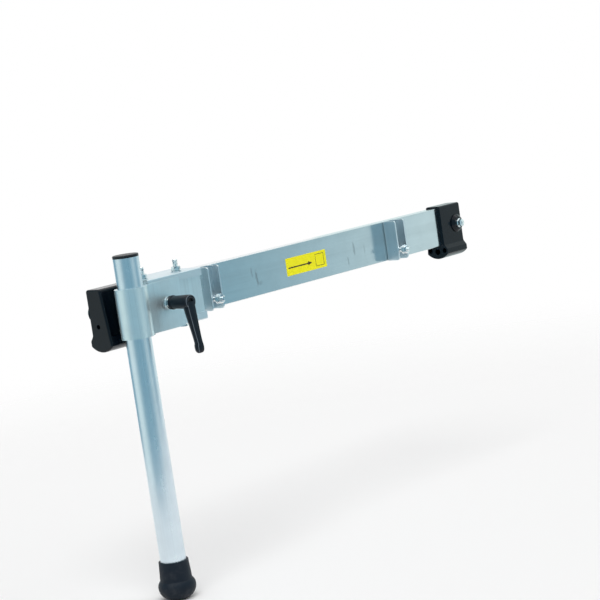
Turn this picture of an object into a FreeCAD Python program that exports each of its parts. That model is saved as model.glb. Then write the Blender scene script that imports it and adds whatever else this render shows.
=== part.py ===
import FreeCAD, Part
import math
import os
import re

import Sketcher
from FreeCAD import Placement, Rotation, Vector

# Ladder leveller: a crossbar that is bolted under the stiles of a ladder, with one sliding leg
# The origin is the centre of the crossbar's top face, +X along the bar, -Y to the user, +Z up

doc = FreeCAD.newDocument("LadderLeveller")
sheet = doc.addObject("Spreadsheet::Sheet", "Sizes")

# Driving dimensions in millimetres
SIZES = [
    ("bar_long", 910, "crossbar tube, length"),
    ("bar_tall", 70, "crossbar tube, height"),
    ("bar_deep", 22, "crossbar tube, depth front to back"),
    ("bar_wall", 2, "crossbar tube, wall"),
    ("bar_corner", 1.2, "crossbar tube, outer corner radius"),
    ("foot_grip", 57, "end foot, length of bar that it takes in"),
    ("foot_end", 5, "end foot, end wall"),
    ("foot_fit", 0.1, "end foot, play on the bar"),
    ("foot_top", 3.5, "end foot, top wall"),
    ("foot_boss_wall", 6.5, "end foot, thick side wall with the boss"),
    ("foot_thin_wall", 2.5, "end foot, thin side wall with the panel"),
    ("foot_round", 4, "end foot, radius of the long top edges"),
    ("foot_half", 23.5, "end foot, half width of the block"),
    ("foot_ledge", 2, "end foot, ledge above the bar's bottom at the plate"),
    ("foot_slope", 8, "end foot, fall of the ledge to its outer edge"),
    ("foot_flare", 6, "end foot, hollow radius between plate and ledge"),
    ("foot_lip", 2, "end foot, radius of the ledge's outer edge"),
    ("foot_side", 14.5, "end foot, block side below the bar's bottom"),
    ("foot_sole", 24, "end foot, lowest line of the curved sole"),
    ("foot_edge", 3, "end foot, radius round the outer end"),
    ("tunnel_deep", 56, "end foot, depth of the three tunnels"),
    ("tunnel_pitch", 16, "end foot, spacing of the tunnels"),
    ("tunnel_side_r", 4.65, "end foot, radius of the side tunnels"),
    ("tunnel_mid_r", 5.75, "end foot, radius of the middle tunnel"),
    ("tunnel_side_down", 8.7, "end foot, side tunnels below the bar's bottom"),
    ("tunnel_mid_down", 10.7, "end foot, middle tunnel below the bar's bottom"),
    ("vent_r", 3.75, "end foot, radius of the hole in the end wall"),
    ("vent_up", 16, "end foot, height of that hole above the bar's bottom"),
    ("panel_end", 4.5, "end foot, border between the panel and both ends"),
    ("panel_top", 5, "end foot, border above the sunk panel"),
    ("panel_low", 1, "end foot, panel's lower edge below the bar's bottom"),
    ("panel_round", 3, "end foot, corner radius of the panel"),
    ("boss_r", 16.5, "end foot, radius of the screw boss at its root"),
    ("boss_out", 6.5, "end foot, height of the screw boss"),
    ("boss_edge", 5, "end foot, slope of the boss"),
    ("foot_screw_in", 12, "end foot, screw axis in from the bar's end"),
    ("foot_screw_up", 36, "end foot, screw axis above the bar's bottom"),
    ("m8_r", 4, "M8 thread, radius"),
    ("m8_hole_r", 4.2, "M8 clearance hole, radius"),
    ("m8_flats", 13, "M8 hexagon, across the flats"),
    ("m8_head", 5.3, "M8 head, height"),
    ("m8_nut", 6.8, "M8 nut, height"),
    ("m8_washer_r", 8.5, "M8 washer, radius"),
    ("m8_washer", 1.6, "M8 washer, thickness"),
    ("thread_play", 0.05, "nuts, radial play on a thread"),
    ("thread_tip", 1, "threads, length of the chamfered tip"),
    ("thread_taper", 0.8, "threads, depth of the chamfered tip"),
    ("rivet_r", 5.5, "rivet nut, barrel radius"),
    ("rivet_bulb_r", 7, "rivet nut, bulb radius"),
    ("rivet_bulb", 3, "rivet nut, bulb length"),
    ("rivet_long", 8, "rivet nut, length behind the wall"),
    ("stile_left_x", -235, "left stile, centre"),
    ("stile_right_x", 249, "right stile, centre"),
    ("stile_wide", 21, "ladder stile, width"),
    ("stile_front", 30, "ladder stile, its front face ahead of the bar"),
    ("stile_fit", 0.25, "ladder stile, play on each side"),
    ("bracket_wall", 3, "stile bracket, wall"),
    ("bracket_reach", 28, "stile bracket, cheeks ahead of the bar"),
    ("bracket_bend", 1, "stile bracket, inner bend radius"),
    ("bracket_corner", 4, "stile bracket, radius of the cheeks' free corners"),
    ("stile_bolt_up", 17, "stile bolt, axis above the bar's bottom"),
    ("stile_bolt_past", 3.5, "stile bolt, thread past its nut"),
    ("spacer_r", 6.5, "bar spacer, outer radius"),
    ("block_gap", 0.3, "clamp block, gap to the bar's front"),
    ("block_deep", 39.7, "clamp block, depth"),
    ("block_play", 0.2, "clamp block, play under each flange"),
    ("channel_play", 1.5, "saddle channel, play under the bar"),
    ("block_long", 117, "clamp block and saddle channel, length"),
    ("channel_gap", 2, "clamp block and saddle channel, gap to the left end foot"),
    ("block_wall", 4, "clamp block, outer walls"),
    ("block_web", 3, "clamp block, webs on both sides of the nut"),
    ("channel_wall", 5, "saddle channel, wall"),
    ("channel_round", 2, "saddle channel, outer edge radius"),
    ("lip_thick", 4, "saddle channel, thickness of the front lips"),
    ("lip_tall", 12, "saddle channel, height of the front lips"),
    ("leg_wide", 40, "leg tube, outer diameter"),
    ("leg_wall", 2, "leg tube, wall"),
    ("leg_play", 0.08, "leg tube, running play in the sleeve"),
    ("leg_top", 46.5, "leg tube, its top above the bar's top"),
    ("leg_long", 516.5, "leg tube, length"),
    ("ring_out", 36, "clamp sleeve, axis of the ring beyond the block's left end"),
    ("ring_wall", 5, "clamp sleeve, wall of the ring"),
    ("sleeve_drop", 6.5, "clamp sleeve, length below the bar"),
    ("slot_wide", 5, "clamp sleeve, width of the slot"),
    ("plate_thick", 5, "clamp sleeve, front plate"),
    ("plate_in", 61, "clamp sleeve, free end of the front plate from the block's left end"),
    ("neck_deep", 18, "clamp sleeve, neck between the ring and the block"),
    ("ring_fillet", 6, "clamp sleeve, hollow radius from ring to plate"),
    ("tie_left_in", 9.5, "left tie bolt, axis from the block's left end"),
    ("tie_right_in", 83, "right tie bolt, axis from the block's left end"),
    ("tie_ahead", 24, "tie bolts, axis ahead of the bar's front"),
    ("tie_past", 11, "tie bolts, thread past the nut"),
    ("plug_rim", 4.5, "leg plug, height of the rim"),
    ("plug_edge", 1.5, "leg plug, top edge radius"),
    ("plug_deep", 15, "leg plug, length inside the tube"),
    ("plug_fit", 0.1, "leg plug, play in the tube"),
    ("plug_wall", 2.5, "leg plug, wall of the spigot"),
    ("boot_grip", 45, "rubber foot, length on the tube"),
    ("boot_rim_r", 23, "rubber foot, radius at the rim"),
    ("boot_neck_r", 25, "rubber foot, radius above the bulge"),
    ("boot_neck_up", 15, "rubber foot, start of the bulge above the tube's end"),
    ("boot_wide_r", 29.3, "rubber foot, largest radius"),
    ("boot_wide_up", 5, "rubber foot, widest level above the tube's end"),
    ("boot_sole", 15, "rubber foot, sole below the tube's end"),
    ("boot_flat_r", 15, "rubber foot, radius of the flat sole"),
    ("disc_r", 19.5, "steel disc in the rubber foot, radius"),
    ("disc_thick", 3, "steel disc in the rubber foot, thickness"),
    ("lever_in", 34, "clamping lever, axis from the block's left end"),
    ("lever_down", 36, "clamping lever, axis below the bar's top"),
    ("stud_r", 5, "lever stud, thread radius"),
    ("stud_hole_r", 5.3, "lever stud, clearance hole radius"),
    ("stud_in", 14, "lever stud, length inside the insert and hub"),
    ("stud_past", 3, "lever stud, thread past the clamp nut"),
    ("lever_washer_r", 10.5, "lever washer, radius"),
    ("lever_washer", 2, "lever washer, thickness"),
    ("collar_r", 8.5, "lever insert, collar radius"),
    ("collar", 3, "lever insert, collar height"),
    ("tooth_r", 7.5, "lever insert, toothed radius"),
    ("tooth_root_r", 6.5, "lever insert, radius between the teeth"),
    ("tooth_long", 3.6, "lever insert, length of the teeth"),
    ("tooth_gap_in", 0.35, "lever insert, half of the gap between teeth at their root"),
    ("tooth_gap_out", 0.8, "lever insert, half of the gap between teeth at their tips"),
    ("tooth_play", 0.1, "lever handle, play beside each tooth"),
    ("tooth_count", 20, "lever insert and handle, number of teeth"),
    ("neck_r", 6, "lever insert, neck radius"),
    ("neck_long", 8, "lever insert, length of the neck"),
    ("neck_play", 0.08, "lever handle, running play on the neck"),
    ("hub_gap", 0.3, "lever handle, gap above the collar"),
    ("hub_ring_r", 11, "lever handle, radius of the ring at the hub's foot"),
    ("hub_ring", 3.5, "lever handle, height of that ring"),
    ("hub_low_r", 10, "lever handle, hub radius above the ring"),
    ("hub_high_r", 10.8, "lever handle, hub radius at the knuckle"),
    ("hub_long", 40.7, "lever handle, hub length"),
    ("hub_round", 2, "lever handle, edge radius of the knuckle"),
    ("shelf_up", 13.7, "lever handle, shelf for the spring above the hub's foot"),
    ("shelf_thick", 3, "lever handle, thickness of that shelf"),
    ("well_r", 5.1, "lever handle, radius of the well for screw and spring"),
    ("screw_r", 2.5, "lever screw, thread radius"),
    ("screw_hole_r", 2.8, "lever screw, clearance hole radius"),
    ("screw_in", 8, "lever screw, length inside the stud"),
    ("screw_head_r", 4.8, "lever screw, head radius"),
    ("screw_head", 3.5, "lever screw, head height"),
    ("screw_sunk", 3, "lever screw, head below the hub's end"),
    ("spring_r_in", 2.9, "lever spring, inner radius"),
    ("spring_r_out", 4.7, "lever spring, outer radius"),
    ("arm_long", 80, "lever handle, axis to the tip"),
    ("arm_down", 7.5, "lever handle, arm's root below the hub's end"),
    ("arm_lean", 10, "lever handle, how far the tip leans out"),
    ("arm_root", 8, "lever handle, half of the arm's width at the hub"),
    ("arm_waist", 5.1, "lever handle, half of the arm's width at the waist"),
    ("arm_grip", 6.4, "lever handle, half of the arm's width at the grip"),
    ("arm_flat", 0.84, "lever handle, depth of the arm as a share of its width"),
    ("arm_tip", 3, "lever handle, radius of the tip's edge"),
    ("nut_wide", 16, "clamp nut, side of the square"),
    ("nut_thick", 8, "clamp nut, thickness"),
    ("nut_play", 0.3, "clamp nut, play between the webs"),
]
for row, (alias, value, note) in enumerate(SIZES, 1):
    sheet.set(f"A{row}", note)
    sheet.set(f"B{row}", str(value))
    sheet.setAlias(f"B{row}", alias)
doc.recompute()
WORDS = {alias for alias, value, note in SIZES}

# Positions that several pieces share, written once from the sizes above
BAR_FRONT = "(-bar_deep / 2)"
BLOCK_LEFT = "(-bar_long / 2 + foot_grip + channel_gap)"
RING_X = f"({BLOCK_LEFT} - ring_out)"
PLATE_END = f"({BLOCK_LEFT} + plate_in)"
LEVER_X = f"({BLOCK_LEFT} + lever_in)"
BLOCK_FRONT = "(-bar_deep / 2 - block_gap - block_deep)"
SLOT_FRONT = "(-bar_deep / 2 - block_gap - block_deep - slot_wide)"
PLATE_FRONT = "(-bar_deep / 2 - block_gap - block_deep - slot_wide - plate_thick)"
RING_Y = "(-bar_deep / 2 - block_gap - block_deep - slot_wide / 2)"
INSERT_FOOT = f"({PLATE_FRONT} - lever_washer)"
HUB_FOOT = f"({PLATE_FRONT} - lever_washer - collar - hub_gap)"
HUB_END = f"({HUB_FOOT} - hub_long)"
HEAD_UNDER = f"({HUB_END} + screw_sunk + screw_head)"
SHELF_TOP = f"({HUB_FOOT} - shelf_up - shelf_thick)"
LEG_END = "(leg_top - leg_long)"
SCREW_X = "(bar_long / 2 - foot_screw_in)"
SCREW_Z = "(-bar_tall + foot_screw_up)"
STILE_BOLT_Z = "(-bar_tall + stile_bolt_up)"
TIE_Y = "(-bar_deep / 2 - tie_ahead)"
ALL = "bar_long * 2"


def tied(text):
    """Write a formula of size names as an expression on the sheet."""
    return re.sub(r"[a-z][a-z0-9_]*", lambda m: ("Sizes." if m.group() in WORDS else "") + m.group(), text)


def size(text):
    """Value of a formula of size names."""
    return float(sheet.evalExpression(tied(text)))


def new_body(name):
    """Body with its own label."""
    body = doc.addObject("PartDesign::Body", name)
    body.Label = name
    return body


def new_sketch(body, role, shift="0"):
    """Sketch on one of the body's origin planes, moved along the plane's normal."""
    made = body.newObject("Sketcher::SketchObject", body.Name + "_sketch")
    planes = [f for f in body.Origin.OriginFeatures if f.Role == role]
    made.AttachmentSupport = [(planes[0], "")]
    made.MapMode = "FlatFace"
    made.setExpression("AttachmentOffset.Base.z", tied(shift))
    doc.recompute()
    return made


def pin(sketch, geometry, point, across, up):
    """Tie one point of a sketch to two formulas."""
    for kind, text in (("DistanceX", across), ("DistanceY", up)):
        constraint = Sketcher.Constraint(kind, -1, 1, geometry, point, size(text))
        index = sketch.addConstraint(constraint)
        sketch.setExpression(f"Constraints[{index}]", tied(text))


def outline(sketch, points, arcs=None):
    """Closed outline through points; arcs gives the radius and the side of a curved run."""
    arcs = arcs or {}
    first = sketch.GeometryCount
    spots = [Vector(size(across), size(up), 0) for across, up in points]
    ends = []
    for index, start in enumerate(spots):
        finish = spots[(index + 1) % len(spots)]
        if index not in arcs:
            sketch.addGeometry(Part.LineSegment(start, finish), False)
            ends.append((1, 2))
            continue
        radius, side = arcs[index]
        middle = (start + finish) * 0.5
        half = (finish - start).Length / 2
        along = (finish - start).normalize()
        across = Vector(-along.y, along.x, 0) * side
        centre = middle + across * math.sqrt(max(size(radius) ** 2 - half ** 2, 0))
        low = math.atan2(start.y - centre.y, start.x - centre.x)
        high = math.atan2(finish.y - centre.y, finish.x - centre.x)
        order = (1, 2)
        if side < 0:
            low, high = high, low
            order = (2, 1)
        circle = Part.Circle(centre, Vector(0, 0, 1), size(radius))
        sketch.addGeometry(Part.ArcOfCircle(circle, low, high if high > low else high + 2 * math.pi), False)
        ends.append(order)
    for index in range(len(spots)):
        following = (index + 1) % len(spots)
        link = (first + index, ends[index][1], first + following, ends[following][0])
        sketch.addConstraint(Sketcher.Constraint("Coincident", *link))
    for index, (across, up) in enumerate(points):
        pin(sketch, first + index, ends[index][0], across, up)
    for index, (radius, side) in arcs.items():
        number = sketch.addConstraint(Sketcher.Constraint("Radius", first + index, size(radius)))
        sketch.setExpression(f"Constraints[{number}]", tied(radius))


def block(sketch, left, low, right, high):
    """Rectangle between two corners."""
    outline(sketch, [(left, low), (right, low), (right, high), (left, high)])


def circle(sketch, across, up, radius):
    """Circle about a point."""
    index = sketch.GeometryCount
    spot = Vector(size(across), size(up), 0)
    sketch.addGeometry(Part.Circle(spot, Vector(0, 0, 1), size(radius)), False)
    pin(sketch, index, 3, across, up)
    number = sketch.addConstraint(Sketcher.Constraint("Radius", index, size(radius)))
    sketch.setExpression(f"Constraints[{number}]", tied(radius))


def pad(body, sketch, length, middle=False, back=False):
    """Pad of a sketch."""
    made = body.newObject("PartDesign::Pad", body.Name + "_pad")
    made.Profile = sketch
    made.setExpression("Length", tied(length))
    made.Midplane = middle
    made.Reversed = back
    doc.recompute()
    return made


def pocket(body, sketch, length, middle=False, back=False):
    """Pocket of a sketch; it has to take material away."""
    before = body.Shape.Volume
    made = body.newObject("PartDesign::Pocket", body.Name + "_pocket")
    made.Profile = sketch
    made.setExpression("Length", tied(length))
    made.Midplane = middle
    made.Reversed = back
    doc.recompute()
    if body.Shape.Volume > before - 0.01:
        raise RuntimeError(f"{made.Name} cuts nothing")
    return made


def turn(body, sketch, kind="PartDesign::Revolution"):
    """Revolution or groove of a sketch about its upright axis."""
    before = body.Shape.Volume if kind == "PartDesign::Groove" else 0
    made = body.newObject(kind, body.Name + "_turn")
    made.Profile = sketch
    made.ReferenceAxis = (sketch, ["V_Axis"])
    made.Angle = 360
    doc.recompute()
    if before and body.Shape.Volume > before - 0.01:
        raise RuntimeError(f"{made.Name} cuts nothing")
    return made


def all_round(body, sketch, cut):
    """Repeat a cut for each tooth about the sketch's normal."""
    made = body.newObject("PartDesign::PolarPattern", body.Name + "_pattern")
    made.Originals = [cut]
    made.Axis = (sketch, ["N_Axis"])
    made.Angle = 360
    made.setExpression("Occurrences", tied("tooth_count"))
    body.Tip = made
    doc.recompute()


def curve_of(edge):
    """Curve of an edge, or nothing where the kernel has no name for it."""
    try:
        return edge.Curve
    except TypeError:
        return None


def straight_edges(shape, axis, spots):
    """Names of the edges that run along an axis through the given places."""
    others = [n for n in range(3) if n != axis]
    found = []
    for number, edge in enumerate(shape.Edges, 1):
        ends = [vertex.Point for vertex in edge.Vertexes]
        if len(ends) != 2 or not isinstance(curve_of(edge), Part.Line):
            continue
        if any(abs(ends[0][n] - ends[1][n]) > 1e-5 for n in others):
            continue
        for spot in spots:
            if all(abs(ends[0][n] - want) < 0.01 for n, want in zip(others, spot)):
                found.append(f"Edge{number}")
                break
    return found


def ring_edges(shape, axis, level, radius):
    """Names of the circular edges of one radius at one level along an axis."""
    found = []
    for number, edge in enumerate(shape.Edges, 1):
        curve = curve_of(edge)
        if isinstance(curve, Part.Circle) and abs(curve.Radius - radius) < 0.01:
            if abs(curve.Center[axis] - level) < 0.01 and abs(curve.Axis[axis]) > 0.999:
                found.append(f"Edge{number}")
    return found


def level_edges(shape, axis, level):
    """Names of the edges that lie in one plane across an axis."""
    names = ("X", "Y", "Z")
    found = []
    for number, edge in enumerate(shape.Edges, 1):
        box = edge.BoundBox
        low = getattr(box, names[axis] + "Min")
        high = getattr(box, names[axis] + "Max")
        if abs(low - level) < 0.01 and abs(high - level) < 0.01:
            found.append(f"Edge{number}")
    return found


def fillet(body, edges, radius, kind="Fillet", word="Radius"):
    """Fillet or chamfer on named edges of the body's tip."""
    if not edges:
        raise RuntimeError(f"{body.Name} has no edge to round")
    made = body.newObject("PartDesign::" + kind, body.Name + "_edge")
    made.Base = (body.Tip if made != body.Tip else made.BaseFeature, edges)
    made.setExpression(word, tied(radius))
    doc.recompute()
    return made


def place(thing, across="0", deep="0", up="0", axis=None, angle=0):
    """Placement by formulas, turned about an axis."""
    if axis:
        thing.Placement = Placement(Vector(), Rotation(Vector(*axis), angle))
    for word, text in (("x", across), ("y", deep), ("z", up)):
        thing.setExpression(f".Placement.Base.{word}", tied(text))
    return thing


def turned(name, points, upright=True, arcs=None):
    """Round piece about Z, or about Y, from radius and level of its outline."""
    body = new_body(name)
    sketch = new_sketch(body, "XZ_Plane" if upright else "XY_Plane")
    outline(sketch, points, arcs)
    turn(body, sketch)
    return body


def sleeve(name, inner, outer, low, high, upright=True):
    """Plain round tube."""
    return turned(name, [(inner, low), (outer, low), (outer, high), (inner, high)], upright)


def hexagon(name, height):
    """M8 hexagon prism that stands on its base."""
    made = doc.addObject("Part::Prism", name)
    made.Polygon = 6
    made.setExpression("Circumradius", tied("m8_flats / sqrt(3)"))
    made.setExpression("Height", tied(height))
    return made


def rod(name, radius, height):
    """Plain cylinder that stands on its base."""
    made = doc.addObject("Part::Cylinder", name)
    made.setExpression("Radius", tied(radius))
    made.setExpression("Height", tied(height))
    return made


def hex_bolt(name, shank):
    """M8 hexagon bolt: its head below the origin, its shank upwards with a pointed end."""
    head = hexagon(name + "_head", "m8_head")
    place(head, up="-m8_head")
    shaft = rod(name + "_shaft", "m8_r", f"{shank} - thread_tip")
    point = doc.addObject("Part::Cone", name + "_point")
    point.setExpression("Radius1", tied("m8_r"))
    point.setExpression("Radius2", tied("m8_r - thread_taper"))
    point.setExpression("Height", tied("thread_tip"))
    place(point, up=f"{shank} - thread_tip")
    made = doc.addObject("Part::MultiFuse", name)
    made.Shapes = [head, shaft, point]
    made.Refine = True
    return made


def hex_nut(name):
    """M8 hexagon nut that stands on its base."""
    made = doc.addObject("Part::Cut", name)
    made.Base = hexagon(name + "_hexagon", "m8_nut")
    made.Tool = rod(name + "_thread", "m8_r + thread_play", "m8_nut")
    return made


def washer(name):
    """M8 washer that stands on its base."""
    return sleeve(name, "m8_hole_r", "m8_washer_r", "0", "m8_washer")


def group(name, pieces):
    """Several separate solids under one name."""
    made = doc.addObject("Part::Compound", name)
    made.Label = name
    made.Links = pieces
    return made


# Crossbar: rectangular tube with the bolt holes and the holes of the rivet nuts
crossbar = new_body("crossbar")
section = new_sketch(crossbar, "YZ_Plane")
block(section, BAR_FRONT, "-bar_tall", "bar_deep / 2", "0")
pad(crossbar, section, "bar_long", middle=True)
bar_edges = [(size(BAR_FRONT), 0), (size("bar_deep / 2"), 0)]
bar_edges += [(across, -size("bar_tall")) for across, up in bar_edges]
fillet(crossbar, straight_edges(crossbar.Shape, 0, bar_edges), "bar_corner")
section = new_sketch(crossbar, "YZ_Plane")
block(section, f"{BAR_FRONT} + bar_wall", "-bar_tall + bar_wall", "bar_deep / 2 - bar_wall", "-bar_wall")
pocket(crossbar, section, ALL, middle=True)
holes = new_sketch(crossbar, "XZ_Plane")
circle(holes, "stile_left_x", STILE_BOLT_Z, "m8_hole_r")
circle(holes, "stile_right_x", STILE_BOLT_Z, "m8_hole_r")
pocket(crossbar, holes, ALL, middle=True)
for side, back in (("", True), ("-", False)):
    holes = new_sketch(crossbar, "XZ_Plane")
    circle(holes, side + SCREW_X, SCREW_Z, "rivet_r")
    pocket(crossbar, holes, "bar_deep", back=back)


# End feet: one moulding for both ends, turned half a turn for the left end
def end_foot(name):
    """Moulded end foot, built as the right-hand one."""
    foot = new_body(name)
    mouth = "(bar_long / 2 - foot_grip)"
    long = "(foot_grip + foot_end)"
    thick = "(-bar_deep / 2 - foot_boss_wall)"
    thin = "(bar_deep / 2 + foot_thin_wall)"
    inner = "(-bar_tall + foot_ledge)"
    outer = "(-bar_tall + foot_ledge - foot_slope)"
    side = "(-bar_tall - foot_side)"
    panel_foot = "(-bar_tall - panel_low)"
    section = new_sketch(foot, "YZ_Plane", mouth)
    points = [
        (thick, "foot_top"), (thick, inner), ("-foot_half", outer), ("-foot_half", side),
        ("foot_half", side), (thin, "foot_top"),
    ]
    sag = "(foot_sole - foot_side)"
    outline(section, points, {3: (f"(foot_half ^ 2 + {sag} ^ 2) / (2 * {sag})", 1)})
    pad(foot, section, long)
    tops = [(size(thick), size("foot_top")), (size(thin), size("foot_top"))]
    fillet(foot, straight_edges(foot.Shape, 0, tops), "foot_round")
    fillet(foot, straight_edges(foot.Shape, 0, [(size(thick), size(inner))]), "foot_flare")
    fillet(foot, straight_edges(foot.Shape, 0, [(-size("foot_half"), size(outer))]), "foot_lip")
    lows = [(-size("foot_half"), size(side)), (size("foot_half"), size(side))]
    fillet(foot, straight_edges(foot.Shape, 0, lows), "foot_lip")
    fillet(foot, level_edges(foot.Shape, 0, size("bar_long / 2 + foot_end")), "foot_edge")
    cavity = new_sketch(foot, "YZ_Plane", mouth)
    block(cavity, f"{BAR_FRONT} - foot_fit", "-bar_tall - foot_fit", "bar_deep / 2 + foot_fit", "foot_fit")
    pocket(foot, cavity, "foot_grip", back=True)
    tunnels = new_sketch(foot, "YZ_Plane", mouth)
    circle(tunnels, "-tunnel_pitch", "-bar_tall - tunnel_side_down", "tunnel_side_r")
    circle(tunnels, "0", "-bar_tall - tunnel_mid_down", "tunnel_mid_r")
    circle(tunnels, "tunnel_pitch", "-bar_tall - tunnel_side_down", "tunnel_side_r")
    pocket(foot, tunnels, "tunnel_deep", back=True)
    vent = new_sketch(foot, "YZ_Plane", f"{mouth} + foot_grip")
    circle(vent, "0", "-bar_tall + vent_up", "vent_r")
    pocket(foot, vent, "foot_end", back=True)
    boss = new_sketch(foot, "XZ_Plane", f"-{thick}")
    circle(boss, SCREW_X, SCREW_Z, "boss_r")
    pad(foot, boss, "boss_out")
    rim = ring_edges(foot.Shape, 1, size(f"{thick} - boss_out"), size("boss_r"))
    fillet(foot, rim, "boss_edge", "Chamfer", "Size")
    bore = new_sketch(foot, "XZ_Plane", f"-{thick} + boss_out")
    circle(bore, SCREW_X, SCREW_Z, "m8_hole_r")
    pocket(foot, bore, "boss_out + foot_boss_wall")
    panel = new_sketch(foot, "XZ_Plane", f"-{thin}")
    panel_left = f"({mouth} + panel_end)"
    panel_right = f"({mouth} + {long} - panel_end)"
    block(panel, panel_left, panel_foot, panel_right, "foot_top - panel_top")
    pocket(foot, panel, "foot_half")
    corners = [(size(across), size(up)) for across in (panel_left, panel_right)
               for up in (panel_foot, "foot_top - panel_top")]
    fillet(foot, straight_edges(foot.Shape, 1, corners), "panel_round")
    return foot


end_foot("end_foot_right")
place(end_foot("end_foot_left"), axis=(0, 0, 1), angle=180)


# Foot screws, washers and rivet nuts, the right-hand set and the left-hand set
BOSS_FACE = "(bar_deep / 2 + foot_boss_wall + boss_out)"
foot_screws = []
foot_washers = []
rivet_nuts = []
for hand, side, tip_turn in (("right", "-", -90), ("left", "", 90)):
    across = SCREW_X if hand == "right" else "-" + SCREW_X
    screw = hex_bolt(f"foot_screw_{hand}", f"({BOSS_FACE} + m8_washer - bar_deep / 2 + rivet_long)")
    place(screw, across, f"{side}({BOSS_FACE} + m8_washer)", SCREW_Z, (1, 0, 0), tip_turn)
    foot_screws.append(screw)
    ring = washer(f"foot_washer_{hand}")
    place(ring, across, f"{side}{BOSS_FACE}", SCREW_Z, (1, 0, 0), -tip_turn)
    foot_washers.append(ring)
    rivet = turned(f"rivet_nut_{hand}", [
        ("m8_r + thread_play", "0"), ("rivet_r", "0"), ("rivet_r", "bar_wall"),
        ("rivet_bulb_r", "bar_wall"), ("rivet_bulb_r", "bar_wall + rivet_bulb"),
        ("rivet_r", "bar_wall + rivet_bulb"), ("rivet_r", "rivet_long"),
        ("m8_r + thread_play", "rivet_long"),
    ])
    place(rivet, across, f"{side}(bar_deep / 2)", SCREW_Z, (1, 0, 0), tip_turn)
    rivet_nuts.append(rivet)
group("foot_screws", foot_screws)
group("foot_washers", foot_washers)
group("foot_rivet_nuts", rivet_nuts)


# Stile brackets: bent U-shaped seats on the bar's front
def stile_bracket(name):
    """Bent seat for one stile, about its own middle."""
    bracket = new_body(name)
    wide = "(stile_wide / 2 + stile_fit + bracket_wall)"
    gap = "(stile_wide / 2 + stile_fit)"
    tip = f"({BAR_FRONT} - bracket_reach)"
    web = f"({BAR_FRONT} - bracket_wall)"
    section = new_sketch(bracket, "XY_Plane", "-bar_tall")
    outline(section, [
        (f"-{wide}", BAR_FRONT), (f"-{wide}", tip), (f"-{gap}", tip), (f"-{gap}", web),
        (gap, web), (gap, tip), (wide, tip), (wide, BAR_FRONT),
    ])
    pad(bracket, section, "bar_tall")
    corners = [(side * size(wide), size(BAR_FRONT)) for side in (-1, 1)]
    fillet(bracket, straight_edges(bracket.Shape, 2, corners), "bracket_wall + bracket_bend")
    corners = [(side * size(gap), size(web)) for side in (-1, 1)]
    fillet(bracket, straight_edges(bracket.Shape, 2, corners), "bracket_bend")
    corners = [(size(tip), 0), (size(tip), -size("bar_tall"))]
    fillet(bracket, straight_edges(bracket.Shape, 0, corners), "bracket_corner")
    hole = new_sketch(bracket, "XZ_Plane")
    circle(hole, "0", STILE_BOLT_Z, "m8_hole_r")
    pocket(bracket, hole, ALL, middle=True)
    return bracket


place(stile_bracket("stile_bracket_left"), "stile_left_x")
place(stile_bracket("stile_bracket_right"), "stile_right_x")

# Stile bolts with their washers, nuts and the spacers inside the bar
stile_bolts = []
rear_washers = []
front_washers = []
stile_nuts = []
spacers = []
shank = "(bar_deep + m8_washer + stile_front + m8_washer + m8_nut + stile_bolt_past)"
for hand in ("left", "right"):
    across = f"stile_{hand}_x"
    bolt = hex_bolt(f"stile_bolt_{hand}", shank)
    place(bolt, across, "bar_deep / 2 + m8_washer", STILE_BOLT_Z, (1, 0, 0), 90)
    stile_bolts.append(bolt)
    ring = washer(f"stile_rear_washer_{hand}")
    rear_washers.append(place(ring, across, "bar_deep / 2 + m8_washer", STILE_BOLT_Z, (1, 0, 0), 90))
    ring = washer(f"stile_front_washer_{hand}")
    front_washers.append(place(ring, across, f"{BAR_FRONT} - stile_front", STILE_BOLT_Z, (1, 0, 0), 90))
    nut = hex_nut(f"stile_nut_{hand}")
    place(nut, across, f"{BAR_FRONT} - stile_front - m8_washer", STILE_BOLT_Z, (1, 0, 0), 90)
    stile_nuts.append(nut)
    tube = sleeve(f"bar_spacer_{hand}", "m8_hole_r", "spacer_r",
                  f"{BAR_FRONT} + bar_wall", "bar_deep / 2 - bar_wall", upright=False)
    spacers.append(place(tube, across, "0", STILE_BOLT_Z))
group("stile_bolts", stile_bolts)
group("stile_rear_washers", rear_washers)
group("stile_front_washers", front_washers)
group("stile_nuts", stile_nuts)
group("bar_spacers", spacers)

# Saddle channel: wraps the bar from behind, its lips hold the clamp block in front
channel = new_body("saddle_channel")
section = new_sketch(channel, "YZ_Plane", BLOCK_LEFT)
front = f"({BLOCK_FRONT} - lip_thick)"
rear = "(bar_deep / 2 + channel_wall)"
low = "(-bar_tall - channel_play - channel_wall)"
outline(section, [
    (front, "channel_wall"), (front, "channel_wall - lip_tall"), (BLOCK_FRONT, "channel_wall - lip_tall"),
    (BLOCK_FRONT, "0"), ("bar_deep / 2", "0"), ("bar_deep / 2", f"{low} + channel_wall"),
    (BLOCK_FRONT, f"{low} + channel_wall"),
    (BLOCK_FRONT, f"{low} + lip_tall"), (front, f"{low} + lip_tall"), (front, low), (rear, low),
    (rear, "channel_wall"),
])
pad(channel, section, "block_long")
corners = [(size(across), size(up)) for across in (front, rear) for up in ("channel_wall", low)]
fillet(channel, straight_edges(channel.Shape, 0, corners), "channel_round")
holes = new_sketch(channel, "XY_Plane")
circle(holes, f"{BLOCK_LEFT} + tie_left_in", TIE_Y, "m8_hole_r")
circle(holes, f"{BLOCK_LEFT} + tie_right_in", TIE_Y, "m8_hole_r")
pocket(channel, holes, ALL, middle=True)

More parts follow.
